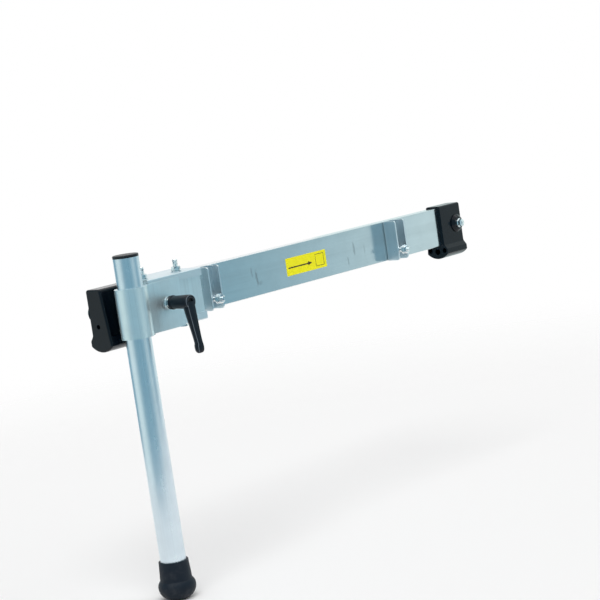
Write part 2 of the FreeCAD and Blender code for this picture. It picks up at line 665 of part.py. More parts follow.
# Clamp sleeve: split ring round the leg, front plate, neck and the hollow block in the channel
clamp = new_body("clamp_sleeve")
base = "(-bar_tall - sleeve_drop)"
tall = "(bar_tall + sleeve_drop)"
ring_r = "(leg_wide / 2 + leg_play + ring_wall)"
neck_rear = f"({BLOCK_FRONT} + neck_deep)"
section = new_sketch(clamp, "XY_Plane", base)
circle(section, RING_X, RING_Y, ring_r)
pad(clamp, section, tall)
section = new_sketch(clamp, "XY_Plane", base)
block(section, RING_X, PLATE_FRONT, PLATE_END, SLOT_FRONT)
pad(clamp, section, tall)
section = new_sketch(clamp, "XY_Plane", base)
block(section, RING_X, BLOCK_FRONT, BLOCK_LEFT, neck_rear)
pad(clamp, section, tall)
section = new_sketch(clamp, "XY_Plane", "-bar_tall - channel_play + block_play")
block(section, BLOCK_LEFT, BLOCK_FRONT, f"{BLOCK_LEFT} + block_long", f"{BAR_FRONT} - block_gap")
pad(clamp, section, "bar_tall + channel_play - 2 * block_play")
cut = new_sketch(clamp, "XY_Plane")
circle(cut, RING_X, RING_Y, "leg_wide / 2 + leg_play")
pocket(clamp, cut, ALL, middle=True)
cut = new_sketch(clamp, "XY_Plane")
block(cut, RING_X, SLOT_FRONT, BLOCK_LEFT, BLOCK_FRONT)
pocket(clamp, cut, ALL, middle=True)
chambers = new_sketch(clamp, "XY_Plane")
nut_left = f"({LEVER_X} - nut_wide / 2 - nut_play)"
nut_right = f"({LEVER_X} + nut_wide / 2 + nut_play)"
chamber_front = f"({BLOCK_FRONT} + block_wall)"
chamber_rear = f"({BAR_FRONT} - block_gap - block_wall)"
block(chambers, f"{BLOCK_LEFT} + block_wall", chamber_front, f"{nut_left} - block_web", chamber_rear)
block(chambers, nut_left, chamber_front, nut_right, chamber_rear)
block(chambers, f"{nut_right} + block_web", chamber_front, f"{BLOCK_LEFT} + block_long - block_wall",
      chamber_rear)
pocket(clamp, chambers, ALL, middle=True)
bore = new_sketch(clamp, "XZ_Plane", f"-{PLATE_FRONT}")
circle(bore, LEVER_X, "-lever_down", "stud_hole_r")
pocket(clamp, bore, "plate_thick + slot_wide + block_wall")
reach = size(f"sqrt({ring_r} ^ 2 - (slot_wide / 2 + plate_thick) ^ 2)")
joint = [(size(RING_X) + reach, size(PLATE_FRONT))]
fillet(clamp, straight_edges(clamp.Shape, 2, joint), "ring_fillet")
reach = size(f"sqrt({ring_r} ^ 2 - (neck_deep + slot_wide / 2) ^ 2)")
joint = [(size(RING_X) + reach, size(neck_rear))]
fillet(clamp, straight_edges(clamp.Shape, 2, joint), "ring_fillet / 2")

# Tie bolts through both flanges, with washers and nuts on top
tie_bolts = []
tie_washers = []
tie_nuts = []
shank = "(bar_tall + channel_play + 2 * channel_wall + m8_washer + m8_nut + tie_past)"
for hand in ("left", "right"):
    across = f"{BLOCK_LEFT} + tie_{hand}_in"
    tie_bolts.append(place(hex_bolt(f"tie_bolt_{hand}", shank), across, TIE_Y, low))
    tie_washers.append(place(washer(f"tie_washer_{hand}"), across, TIE_Y, "channel_wall"))
    tie_nuts.append(place(hex_nut(f"tie_nut_{hand}"), across, TIE_Y, "channel_wall + m8_washer"))
group("tie_bolts", tie_bolts)
group("tie_washers", tie_washers)
group("tie_nuts", tie_nuts)

# Levelling leg with its plug, its rubber foot and the disc inside the foot
tube = sleeve("leg_tube", "leg_wide / 2 - leg_wall", "leg_wide / 2", LEG_END, "leg_top")
place(tube, RING_X, RING_Y)
spigot = "(leg_wide / 2 - leg_wall - plug_fit)"
plug = turned("leg_plug", [
    ("0", "leg_top"), (f"{spigot} - plug_wall", "leg_top"), (f"{spigot} - plug_wall", "leg_top - plug_deep"),
    (spigot, "leg_top - plug_deep"), (spigot, "leg_top"), ("leg_wide / 2", "leg_top"),
    ("leg_wide / 2", "leg_top + plug_rim - plug_edge"), ("leg_wide / 2 - plug_edge", "leg_top + plug_rim"),
    ("0", "leg_top + plug_rim"),
], arcs={6: ("plug_edge", 1)})
place(plug, RING_X, RING_Y)
boot = turned("leg_foot", [
    ("0", f"{LEG_END} - disc_thick"), ("0", f"{LEG_END} - boot_sole"),
    ("boot_flat_r", f"{LEG_END} - boot_sole"), ("boot_wide_r", f"{LEG_END} + boot_wide_up"),
    ("boot_neck_r", f"{LEG_END} + boot_neck_up"), ("boot_rim_r", f"{LEG_END} + boot_grip"),
    ("leg_wide / 2", f"{LEG_END} + boot_grip"), ("leg_wide / 2", LEG_END), ("disc_r", LEG_END),
    ("disc_r", f"{LEG_END} - disc_thick"),
], arcs={
    2: ("((boot_wide_r - boot_flat_r) ^ 2 + (boot_sole + boot_wide_up) ^ 2)"
        " / (2 * (boot_wide_r - boot_flat_r))", 1),
    3: ("((boot_wide_r - boot_neck_r) ^ 2 + (boot_neck_up - boot_wide_up) ^ 2)"
        " / (2 * (boot_wide_r - boot_neck_r))", 1),
})
place(boot, RING_X, RING_Y)
disc = rod("leg_foot_disc", "disc_r", "disc_thick")
disc.Label = "leg_foot_disc"
place(disc, RING_X, RING_Y, f"{LEG_END} - disc_thick")

# Clamping lever: washer, insert, stud, screw and spring turn about one axis, the handle lifts on them
lever_washer = sleeve("lever_washer", "stud_hole_r", "lever_washer_r",
                      f"{PLATE_FRONT} - lever_washer", PLATE_FRONT, upright=False)
teeth_end = f"({INSERT_FOOT} - collar - tooth_long)"
insert = turned("lever_insert", [
    ("stud_r", INSERT_FOOT), ("collar_r", INSERT_FOOT), ("collar_r", f"{INSERT_FOOT} - collar"),
    ("tooth_r", f"{INSERT_FOOT} - collar"), ("tooth_r", teeth_end), ("neck_r", teeth_end),
    ("neck_r", f"{teeth_end} - neck_long"), ("stud_r", f"{teeth_end} - neck_long"),
], upright=False)
gap = new_sketch(insert, "XZ_Plane", f"-({INSERT_FOOT} - collar - tooth_long)")
outline(gap, [
    ("-tooth_gap_in", "tooth_root_r"), ("tooth_gap_in", "tooth_root_r"),
    ("tooth_gap_out", "tooth_r + tooth_play"), ("-tooth_gap_out", "tooth_r + tooth_play"),
])
all_round(insert, gap, pocket(insert, gap, "tooth_long"))
stud_end = f"({BLOCK_FRONT} + block_wall + nut_thick + stud_past)"
stud_top = f"({INSERT_FOOT} - stud_in)"
stud = turned("lever_stud", [
    ("0", stud_end), ("stud_r - thread_taper", stud_end), ("stud_r", f"{stud_end} - thread_tip"),
    ("stud_r", stud_top),
    ("screw_r", stud_top), ("screw_r", f"{stud_top} + screw_in"), ("0", f"{stud_top} + screw_in"),
], upright=False)
screw = turned("lever_screw", [
    ("0", f"{stud_top} + screw_in"), ("screw_r", f"{stud_top} + screw_in"), ("screw_r", HEAD_UNDER),
    ("screw_head_r", HEAD_UNDER), ("screw_head_r", f"{HEAD_UNDER} - screw_head"),
    ("0", f"{HEAD_UNDER} - screw_head"),
], upright=False)
spring = sleeve("lever_spring", "spring_r_in", "spring_r_out", HEAD_UNDER, SHELF_TOP, upright=False)
for piece in (lever_washer, stud, screw, spring):
    place(piece, LEVER_X, "0", "-lever_down")
place(insert, LEVER_X, "0", "-lever_down", (0, 1, 0), 180 / size("tooth_count"))

# Lever handle: hub with a ring at its foot, flattened arm, and the stepped and toothed bore
handle = new_body("lever_handle")
section = new_sketch(handle, "XY_Plane")
outline(section, [
    ("0", HUB_FOOT), ("hub_ring_r", HUB_FOOT), ("hub_ring_r", f"{HUB_FOOT} - hub_ring"),
    ("hub_low_r", f"{HUB_FOOT} - hub_ring"), ("hub_high_r", f"{HUB_END} + 2 * hub_high_r"),
    ("hub_high_r", HUB_END), ("0", HUB_END),
])
turn(handle, section)
stations = [
    ("0", "arm_root", "0"),
    ("0.22", "(arm_root - (arm_root - arm_waist) * 0.3)", "0.1"),
    ("0.5", "(arm_root - (arm_root - arm_waist) * 0.72)", "0.42"),
    ("0.75", "arm_waist", "0.72"),
    ("0.86", "arm_grip", "0.86"),
    ("1", "arm_grip", "1"),
]
rings = []
for share, half, lean in stations:
    ring = new_sketch(handle, "XY_Plane", f"-arm_long * {share}")
    middle = f"({HUB_END} + arm_down - arm_lean * {lean})"
    deep = f"({half} * arm_flat)"
    outline(ring, [
        (f"-{half}", f"{middle} - {deep} * 0.5"), (f"-{half} * 0.8", f"{middle} - {deep}"),
        (f"{half} * 0.8", f"{middle} - {deep}"), (half, f"{middle} - {deep} * 0.5"),
        (f"{half} * 0.6", f"{middle} + {deep}"), (f"-{half} * 0.6", f"{middle} + {deep}"),
    ])
    rings.append(ring)
arm = handle.newObject("PartDesign::AdditiveLoft", "lever_handle_arm")
arm.Profile = rings[0]
arm.Sections = rings[1:]
doc.recompute()
fillet(handle, level_edges(handle.Shape, 2, -size("arm_long")), "arm_tip")
fillet(handle, ring_edges(handle.Shape, 1, size(HUB_END), size("hub_high_r")), "hub_round")
wells = new_sketch(handle, "XY_Plane")
outline(wells, [
    ("0", HUB_FOOT), ("tooth_root_r + neck_play", HUB_FOOT),
    ("tooth_root_r + neck_play", f"{teeth_end} - hub_gap"), ("neck_r + neck_play", f"{teeth_end} - hub_gap"),
    ("neck_r + neck_play", f"{HUB_FOOT} - shelf_up"), ("screw_hole_r", f"{HUB_FOOT} - shelf_up"),
    ("screw_hole_r", SHELF_TOP), ("well_r", SHELF_TOP), ("well_r", HUB_END), ("0", HUB_END),
])
turn(handle, wells, "PartDesign::Groove")
slot = new_sketch(handle, "XZ_Plane", f"-({HUB_FOOT} - tooth_long)")
slot_in = "(pi * tooth_root_r / tooth_count - tooth_gap_in + tooth_play)"
slot_out = "(pi * tooth_r / tooth_count - tooth_gap_out + tooth_play)"
outline(slot, [
    (f"-{slot_in}", "neck_r"), (slot_in, "neck_r"),
    (slot_out, "tooth_r + tooth_play"), (f"-{slot_out}", "tooth_r + tooth_play"),
])
all_round(handle, slot, pocket(handle, slot, "tooth_long"))
place(handle, LEVER_X, "0", "-lever_down")

# Clamp nut: square nut held between the webs behind the block's front wall
blank = doc.addObject("Part::Box", "clamp_nut_blank")
for word in ("Length", "Height"):
    blank.setExpression(word, tied("nut_wide"))
blank.setExpression("Width", tied("nut_thick"))
place(blank, "-nut_wide / 2", "0", "-nut_wide / 2")
thread = rod("clamp_nut_thread", "stud_r + thread_play", "nut_thick")
place(thread, deep="nut_thick", axis=(1, 0, 0), angle=90)
clamp_nut = doc.addObject("Part::Cut", "clamp_nut")
clamp_nut.Label = "clamp_nut"
clamp_nut.Base = blank
clamp_nut.Tool = thread
place(clamp_nut, LEVER_X, f"{BLOCK_FRONT} + block_wall", "-lever_down")

NODES = [
    "crossbar", "end_foot_left", "end_foot_right", "foot_screws", "foot_washers", "foot_rivet_nuts",
    "stile_bracket_left", "stile_bracket_right", "stile_bolts", "stile_rear_washers",
    "stile_front_washers", "stile_nuts", "bar_spacers", "saddle_channel", "clamp_sleeve", "tie_bolts",
    "tie_washers", "tie_nuts", "leg_tube", "leg_plug", "leg_foot", "leg_foot_disc", "lever_washer",
    "lever_insert", "lever_stud", "lever_screw", "lever_spring", "lever_handle", "clamp_nut",
]

doc.recompute()
for item in doc.Objects:
    if "Invalid" in item.State or "Error" in item.State:
        raise RuntimeError(f"{item.Name} failed: {item.State}")
pieces = {}
for node in NODES:
    shape = doc.getObjectsByLabel(node)[0].Shape
    if shape.isNull() or not shape.isValid() or not shape.Solids:
        raise RuntimeError(f"{node} has no valid shape")
    pieces[node] = shape

os.makedirs("parts", exist_ok=True)
for node, shape in pieces.items():
    shape.exportStep(f"parts/{node}.step")
    box = shape.BoundBox
    print(f"{node}: {len(shape.Solids)} solid(s), {shape.Volume:.0f} mm3, "
          f"x {box.XMin:.1f} {box.XMax:.1f}, y {box.YMin:.1f} {box.YMax:.1f}, z {box.ZMin:.1f} {box.ZMax:.1f}")
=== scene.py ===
import logging
import math
from collections.abc import Callable, Iterable
from dataclasses import dataclass, field
from enum import Enum

import bmesh
import bpy
from mathutils import Matrix, Vector


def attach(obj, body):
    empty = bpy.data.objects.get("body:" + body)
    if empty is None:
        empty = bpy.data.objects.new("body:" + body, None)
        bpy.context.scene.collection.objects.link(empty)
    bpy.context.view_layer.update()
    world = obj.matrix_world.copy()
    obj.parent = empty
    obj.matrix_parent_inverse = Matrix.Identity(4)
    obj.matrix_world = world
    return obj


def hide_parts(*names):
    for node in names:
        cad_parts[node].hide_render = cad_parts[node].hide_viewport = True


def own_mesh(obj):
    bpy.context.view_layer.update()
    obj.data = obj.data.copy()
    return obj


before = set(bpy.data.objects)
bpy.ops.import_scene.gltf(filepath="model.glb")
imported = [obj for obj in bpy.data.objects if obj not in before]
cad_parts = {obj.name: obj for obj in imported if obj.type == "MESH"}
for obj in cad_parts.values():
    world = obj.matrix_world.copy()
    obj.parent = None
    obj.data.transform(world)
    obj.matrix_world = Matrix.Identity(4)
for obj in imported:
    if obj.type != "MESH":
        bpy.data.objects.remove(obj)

LOG = logging.getLogger("ladder_leveller")
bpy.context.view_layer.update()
MM = 0.001
# Radius at which a turned piece closes on its own axis
CORE = 0.02
# Steps of a rounded corner
CORNER_STEPS = 4
# Largest share of a side that one rounded corner takes
CORNER_SHARE = 0.45
# Flat face of a hexagon's end as a share of its width, slope of its chamfer and sides of its mesh
HEX_FACE = 0.96
HEX_SLOPE = math.tan(math.radians(30))
HEX_SIDES = 72
# Depth of a thread as a share of its pitch, rows of its mesh for each turn and sides of each row
THREAD_DEPTH = 0.6
THREAD_ROWS = 8
ROD_SIDES = 40

Colour = tuple[float, float, float]
Point = tuple[float, float, float]
Span = tuple[float, float]
Ring = tuple[Callable[[float], float], Callable[[float], float]]


class Axis(Enum):
    """Direction of the drawing lines in a surface."""

    X = 0
    Z = 2


class Facing(Enum):
    """Way in which a fastener's head or nut looks."""

    FRONT = (0.0, -1.0, 0.0)
    REAR = (0.0, 1.0, 0.0)
    TOP = (0.0, 0.0, 1.0)


# Shader maths


@dataclass(frozen=True)
class Noise:
    """Kind of noise: cells for each metre, octaves and the share of the finer octaves."""

    cells: float
    octaves: float = 3.0
    rough: float = 0.55


class Wire:
    """Socket of a shader graph that takes part in Python expressions."""

    def __init__(self, graph: "Graph", socket: bpy.types.NodeSocket) -> None:
        """Keep the graph and the output socket.

        Args:
            graph: Graph that owns the socket.
            socket: Output socket of one of its nodes.
        """
        self.graph = graph
        self.socket = socket

    def _with(self, operation: str, *others: "Wire | float", back: bool = False) -> "Wire":
        """Add one Math node.

        Args:
            operation: Operation of the Math node.
            others: Other operands.
            back: True where this wire is the second operand.

        Returns:
            Result of the node.
        """
        operands = [*others, self] if back else [self, *others]
        return self.graph.add("ShaderNodeMath", {"operation": operation}, dict(enumerate(operands)))

    def __add__(self, other: "Wire | float") -> "Wire":
        """Sum."""
        return self._with("ADD", other)

    def __radd__(self, other: float) -> "Wire":
        """Reflected sum."""
        return self._with("ADD", other, back=True)

    def __sub__(self, other: "Wire | float") -> "Wire":
        """Difference."""
        return self._with("SUBTRACT", other)

    def __rsub__(self, other: float) -> "Wire":
        """Reflected difference."""
        return self._with("SUBTRACT", other, back=True)

    def __mul__(self, other: "Wire | float") -> "Wire":
        """Product."""
        return self._with("MULTIPLY", other)

    def __rmul__(self, other: float) -> "Wire":
        """Reflected product."""
        return self._with("MULTIPLY", other, back=True)

    def __truediv__(self, other: "Wire | float") -> "Wire":
        """Quotient."""
        return self._with("DIVIDE", other)

    def __rtruediv__(self, other: float) -> "Wire":
        """Reflected quotient."""
        return self._with("DIVIDE", other, back=True)

    def __pow__(self, other: float) -> "Wire":
        """Power."""
        return self._with("POWER", other)

    def __rpow__(self, other: float) -> "Wire":
        """Reflected power."""
        return self._with("POWER", other, back=True)

    def __abs__(self) -> "Wire":
        """Size without its sign."""
        return self._with("ABSOLUTE")

    def bearing(self, east: "Wire") -> "Wire":
        """Angle in degrees from the easting, where this wire is the northing."""
        return self._with("ARCTAN2", east) * (180.0 / math.pi)

    def most(self, other: "Wire | float") -> "Wire":
        """Larger of two values."""
        return self._with("MAXIMUM", other)

    def least(self, other: "Wire | float") -> "Wire":
        """Smaller of two values."""
        return self._with("MINIMUM", other)

    def ramp(self, low: float, high: float, start: float = 0.0, end: float = 1.0) -> "Wire":
        """Smooth step between two values.

        Args:
            low: Value at which the step starts.
            high: Value at which the step ends.
            start: Result below the step.
            end: Result above the step.

        Returns:
            Stepped value.
        """
        ends = {"Value": self, "From Min": low, "From Max": high, "To Min": start, "To Max": end}
        return self.graph.add("ShaderNodeMapRange", {"interpolation_type": "SMOOTHSTEP"}, ends)


class Graph:
    """Node tree of one material or of the world."""

    def __init__(self, tree: bpy.types.NodeTree) -> None:
        """Clear a node tree and keep it.

        Args:
            tree: Tree to fill.
        """
        self.tree = tree
        tree.nodes.clear()

    def make(self, kind: str, settings: dict | None = None, inputs: dict | None = None) -> bpy.types.Node:
        """Add a node of any kind.

        Args:
            kind: Type name of the node.
            settings: Settings, which are set first.
            inputs: Values or wires by the input's name or number.

        Returns:
            The node.
        """
        node = self.tree.nodes.new(kind)
        for name, value in (settings or {}).items():
            setattr(node, name, value)
        for name, value in (inputs or {}).items():
            socket = node.inputs[name]
            if isinstance(value, Wire):
                self.tree.links.new(value.socket, socket)
            elif isinstance(value, tuple) and len(value) == 3 and len(socket.default_value) == 4:
                socket.default_value = (*value, 1.0)
            else:
                socket.default_value = value
        return node

    def add(self, kind: str, settings: dict | None = None, inputs: dict | None = None,
            output: str | int = 0) -> Wire:
        """Add a node and give one of its outputs.

        Args:
            kind: Type name of the node.
            settings: Settings, which are set first.
            inputs: Values or wires by the input's name or number.
            output: Name or number of the output.

        Returns:
            Wire of that output.
        """
        return Wire(self, self.make(kind, settings, inputs).outputs[output])

    def place(self) -> Wire:
        """Place on the piece, in metres of its own frame."""
        return self.add("ShaderNodeTexCoord", output="Object")

    def parts(self, vector: Wire) -> tuple[Wire, Wire, Wire]:
        """Split a vector.

        Args:
            vector: Vector to split.

        Returns:
            Its X, Y and Z.
        """
        node = self.make("ShaderNodeSeparateXYZ", inputs={0: vector})
        return Wire(self, node.outputs[0]), Wire(self, node.outputs[1]), Wire(self, node.outputs[2])

    def stretched(self, vector: Wire, scale: Point) -> Wire:
        """Scale a place by a constant on each axis."""
        return self.add("ShaderNodeVectorMath", {"operation": "MULTIPLY"}, {0: vector, 1: scale})

    def noise(self, vector: Wire, kind: Noise) -> Wire:
        """Noise between nought and one.

        Args:
            vector: Place.
            kind: Kind of noise.

        Returns:
            Noise value.
        """
        ends = {"Vector": vector, "Scale": kind.cells, "Detail": kind.octaves, "Roughness": kind.rough}
        return self.add("ShaderNodeTexNoise", inputs=ends)

    def blend(self, share: Wire | float, low: Wire | Colour, high: Wire | Colour) -> Wire:
        """Mix of two colours.

        Args:
            share: Share of the second colour.
            low: First colour.
            high: Second colour.

        Returns:
            Mixed colour.
        """
        return self.add("ShaderNodeMix", {"data_type": "RGBA"}, {0: share, 6: low, 7: high}, output=2)

    def bump(self, height: Wire, distance: float, strength: float = 1.0) -> Wire:
        """Normal bent by a height.

        Args:
            height: Height between nought and one.
            distance: Depth of the relief in metres.
            strength: Share of the effect.

        Returns:
            Normal.
        """
        ends = {"Strength": strength, "Distance": distance, "Height": height}
        return self.add("ShaderNodeBump", inputs=ends)


# Finishes


@dataclass(frozen=True)
class Mark:
    """Rubbed or scuffed place on a surface, in millimetres of the model's frame."""

    x: float
    z: float
    wide: float
    tall: float
    strength: float


Sockets = dict[str, Wire | float | tuple[float, ...]]
# Materials that are already built, by the name of their finish
READY: dict[str, bpy.types.Material] = {}


@dataclass(frozen=True)
class Finish:
    """Base of all finishes: a named material with its constant shader values."""

    name: str
    colour: Colour
    rough: float
    metal: float = 0.0
    shine: float = 0.5

    def material(self) -> bpy.types.Material:
        """Build the material, once for each name.

        Returns:
            The material.
        """
        known = READY.get(self.name)
        if known:
            return known
        made = bpy.data.materials.new(self.name + "_finish")
        READY[self.name] = made
        made.use_nodes = True
        graph = Graph(made.node_tree)
        shader = graph.make("ShaderNodeBsdfPrincipled", inputs={
            "Base Color": self.colour, "Roughness": self.rough, "Metallic": self.metal,
            "Specular IOR Level": self.shine,
        })
        for socket, value in self.surface(graph).items():
            if isinstance(value, Wire):
                graph.tree.links.new(value.socket, shader.inputs[socket])
            else:
                shader.inputs[socket].default_value = value
        graph.make("ShaderNodeOutputMaterial", inputs={"Surface": Wire(graph, shader.outputs[0])})
        made.diffuse_color = (*self.colour, 1.0)
        return made

    def surface(self, graph: Graph) -> Sockets:
        """What changes over the surface, or overrides a constant.

        Args:
            graph: Graph to build in.

        Returns:
            Wires and values by the shader's socket.
        """
        return {}


def lighter(colour: Colour, share: float, more: float) -> Colour:
    """Colour scaled and lifted, up to white."""
    return tuple(min(value * share + more, 1.0) for value in colour)


@dataclass(frozen=True)
class DrawnAluminium(Finish):
    """Mill-finish aluminium with the die's drawing lines, a dull bloom and handling marks."""

    along: Axis = Axis.X
    line_depth: float = 0.000012
    bloom_and_painted_reflection: float = 0.05
    streaks: float = 0.2
    marks: tuple[Mark, ...] = ()
    metal: float = 1.0
    lines: Noise = Noise(4.0, 4.0, 0.7)
    line_cells: float = 260.0
    line_stretch: float = 1.6
    line_rough: float = 0.06
    bands: Noise = Noise(1.5, 2.0)
    band_cells: float = 40.0
    band_stretch: float = 0.7
    band_span: Span = (0.3, 0.7)
    ribs: Noise = Noise(4.0, 3.0, 0.6)
    rib_share: float = 0.35
    rib_span: Span = (0.52, 0.72)
    rib_tint: float = 0.72
    cloud: Noise = Noise(26.0, 4.0, 0.6)
    cloud_span: Span = (0.35, 0.75)
    dull_depth: float = 2.2
    dull_rough: float = 0.05
    grit: Noise = Noise(900.0, 2.0)
    mark_edge: Noise = Noise(260.0, 4.0, 0.75)
    mark_stretch: Point = (1.0, 1.0, 0.35)
    mark_ragged: float = 2.4
    mark_span: Span = (0.35, 0.95)
    mark_tint: float = 0.45
    mark_rough: float = 0.12
    bar_front: Span = (-0.0108, -0.0100)

    def surface(self, graph: Graph) -> Sockets:
        """Drawing lines along one axis, cloudy bloom, darker streaks and the marks.

        Args:
            graph: Graph to build in.

        Returns:
            Wires by the shader's socket.
        """
        place = graph.place()
        fine = self._drawn(self.line_cells, self.line_stretch)
        ribbed = tuple(value * self.rib_share for value in fine)
        broad = self._drawn(self.band_cells, self.band_stretch)
        lines = graph.noise(graph.stretched(place, fine), self.lines)
        bands = graph.noise(graph.stretched(place, broad), self.bands)
        ribs = graph.noise(graph.stretched(place, ribbed), self.ribs)
        cloud = graph.noise(place, self.cloud)
        grit = graph.noise(place, self.grit)
        dull = (cloud.ramp(*self.cloud_span) * 0.5 + bands.ramp(*self.band_span) * 0.5).least(1.0)
        tint = graph.blend(dull, self.colour, self._darker(1.0 - self.bloom_and_painted_reflection * self.dull_depth))
        tint = graph.blend(ribs.ramp(*self.rib_span) * self.streaks, tint, self._darker(self.rib_tint))
        rough = self.rough + dull * self.dull_rough + lines * self.line_rough
        for mark in self.marks:
            scuff = self._scuff(graph, place, mark)
            tint = graph.blend(scuff, tint, self._darker(self.mark_tint))
            rough = rough + scuff * self.mark_rough
        return {"Base Color": tint, "Roughness": rough,
                "Normal": graph.bump(lines * 0.8 + grit * 0.2, self.line_depth)}

    def _drawn(self, cells: float, stretch: float) -> Point:
        """Cells for each metre on each axis, few of them along the drawing direction."""
        scale = [cells, cells, cells]
        scale[self.along.value] = stretch
        return tuple(scale)

    def _darker(self, share: float) -> Colour:
        """Share of the finish's own colour."""
        return tuple(value * share for value in self.colour)

    def _scuff(self, graph: Graph, place: Wire, mark: Mark) -> Wire:
        """Ragged patch of one mark, on the bar's front only.

        Args:
            graph: Graph to build in.
            place: Place on the piece.
            mark: The mark.

        Returns:
            Share of the mark, nought outside it.
        """
        east, depth, up = graph.parts(place)
        across = abs(east - mark.x * MM) / (mark.wide * MM)
        above = abs(up - mark.z * MM) / (mark.tall * MM)
        ragged = graph.noise(graph.stretched(place, self.mark_stretch), self.mark_edge)
        reach = (across * across + above * above) ** 0.5 + (ragged - 0.5) * self.mark_ragged
        front = depth.ramp(*self.bar_front, 1.0, 0.0)
        return reach.ramp(*self.mark_span, 1.0, 0.0) * mark.strength * front


@dataclass(frozen=True)
class MouldedPlastic(Finish):
    """Black moulded plastic with a fine spark-eroded grain and lighter rubbed patches."""

    grain: float = 0.00002
    rubbed: float = 0.3
    fine: Noise = Noise(1500.0, 2.0, 0.6)
    cloud: Noise = Noise(38.0, 4.0, 0.6)
    worn_span: Span = (0.45, 0.8)
    worn_rough: float = 0.07
    grain_rough: float = 0.04

    def surface(self, graph: Graph) -> Sockets:
        """Grain in the relief and cloudy gloss.

        Args:
            graph: Graph to build in.

        Returns:
            Wires by the shader's socket.
        """
        place = graph.place()
        grain = graph.noise(place, self.fine)
        worn = graph.noise(place, self.cloud).ramp(*self.worn_span)
        light = lighter(self.colour, 1.5, 0.003)
        return {
            "Base Color": graph.blend(worn * self.rubbed, self.colour, light),
            "Roughness": self.rough + worn * self.worn_rough + grain * self.grain_rough,
            "Normal": graph.bump(grain, self.grain),
        }


@dataclass(frozen=True)
class DustyRubber(Finish):
    """Black rubber, dull, with pale dust that gathers low down."""

    floor: float = -0.485
    dusty: float = 0.02
    dust: Colour = (0.20, 0.195, 0.19)
    dust_low: float = 0.25
    dust_all: float = 0.10
    dust_span: Span = (0.4, 0.8)
    grain: float = 0.00006
    fine: Noise = Noise(900.0, 3.0, 0.65)
    cloud: Noise = Noise(55.0, 4.0, 0.6)
    cloud_rough: float = 0.10

    def surface(self, graph: Graph) -> Sockets:
        """Fine grain, moulding flow and dust near the sole.

        Args:
            graph: Graph to build in.

        Returns:
            Wires by the shader's socket.
        """
        place = graph.place()
        grain = graph.noise(place, self.fine)
        cloud = graph.noise(place, self.cloud)
        up = graph.parts(place)[2]
        low = up.ramp(self.floor, self.floor + self.dusty, 1.0, 0.0)
        dust = (low * self.dust_low + self.dust_all) * cloud.ramp(*self.dust_span)
        return {
            "Base Color": graph.blend(dust, self.colour, self.dust),
            "Roughness": self.rough + cloud * self.cloud_rough,
            "Normal": graph.bump(grain * 0.7 + cloud * 0.3, self.grain),
        }


@dataclass(frozen=True)
class ZincPlate(Finish):
    """Bright zinc plating with darker blue grey patches, which stand for small reflections."""

    metal: float = 1.0
    # Colour of the patches of painted reflection on the plating
    bloom_and_painted_reflection: Colour = (0.30, 0.36, 0.42)
    grain: float = 0.000012
    fine: Noise = Noise(2200.0, 2.0, 0.6)
    cloud: Noise = Noise(240.0, 3.0, 0.6)
    cloud_span: Span = (0.5, 0.66)
    cloud_rough: float = 0.10

    def surface(self, graph: Graph) -> Sockets:
        """Patchy painted reflections and a fine speckle.

        Args:
            graph: Graph to build in.

        Returns:
            Wires by the shader's socket.
        """
        place = graph.place()
        cloud = graph.noise(place, self.cloud)
        return {
            # Darker blue grey patches painted into the base colour stand in for small reflections on the
            # plating
            "Base Color": graph.blend(cloud.ramp(*self.cloud_span), self.colour, self.bloom_and_painted_reflection),
            "Roughness": self.rough + cloud * self.cloud_rough,
            "Normal": graph.bump(graph.noise(place, self.fine), self.grain),
        }


@dataclass(frozen=True)
class PrintedFilm(Finish):
    """Printed vinyl film: even colour with the faintest orange peel."""

    peel: float = 0.00001
    fine: Noise = Noise(700.0, 2.0)
    cloud: Noise = Noise(60.0)
    fade: float = 0.6
    fade_span: Span = (0.4, 0.8)
    cloud_rough: float = 0.06

    def surface(self, graph: Graph) -> Sockets:
        """Slight fade and film texture.

        Args:
            graph: Graph to build in.

        Returns:
            Wires by the shader's socket.
        """
        place = graph.place()
        cloud = graph.noise(place, self.cloud)
        faded = lighter(self.colour, 1.05, 0.004)
        return {
            "Base Color": graph.blend(cloud.ramp(*self.fade_span) * self.fade, self.colour, faded),
            "Roughness": self.rough + cloud * self.cloud_rough,
            "Normal": graph.bump(graph.noise(place, self.fine), self.peel),
        }


@dataclass(frozen=True)
class PaperFloor(Finish):
    """Pale paper that fades out with the distance from its middle."""

    near: float = 1.1
    far: float = 2.6

    def surface(self, graph: Graph) -> Sockets:
        """Fade to nothing far away.

        Args:
            graph: Graph to build in.

        Returns:
            Wires by the shader's socket.
        """
        east, north = graph.parts(graph.place())[:2]
        reach = (east * east + north * north) ** 0.5
        return {"Alpha": reach.ramp(self.near, self.far, 1.0, 0.0)}


@dataclass(frozen=True)
class GlowScreen(Finish):
    """Screen that gives off its colour, with pale windows and a pale right end at bearings in degrees."""

    pale: Colour = (0.80, 0.92, 0.92)
    left: tuple[float, float, float, float] = (-232.0, -214.0, -196.0, -166.0)
    middle: tuple[float, float, float, float] = (-122.0, -98.0, -84.0, -72.0)
    right: Span = (-58.0, -14.0)
    seam: float = 60.0

    def surface(self, graph: Graph) -> Sockets:
        """Colour given off, by the bearing round the model.

        Args:
            graph: Graph to build in.

        Returns:
            Wires and values by the shader's socket.
        """
        east, north = graph.parts(graph.place())[:2]
        bearing = north.bearing(east)
        bearing = bearing - ((bearing - self.seam) * 100.0).ramp(0.0, 1.0) * 360.0
        rise, full, fall, end = self.left
        window = bearing.ramp(rise, full) * bearing.ramp(fall, end, 1.0, 0.0)
        rise, full, fall, end = self.middle
        glow = bearing.ramp(rise, full, 0.0, 0.5) * bearing.ramp(fall, end, 1.0, 0.0)
        edge = window.most(glow).most(bearing.ramp(*self.right))
        return {"Base Color": (0.0, 0.0, 0.0, 1.0), "Emission Strength": 1.0,
                "Emission Color": graph.blend(edge, self.colour, self.pale)}


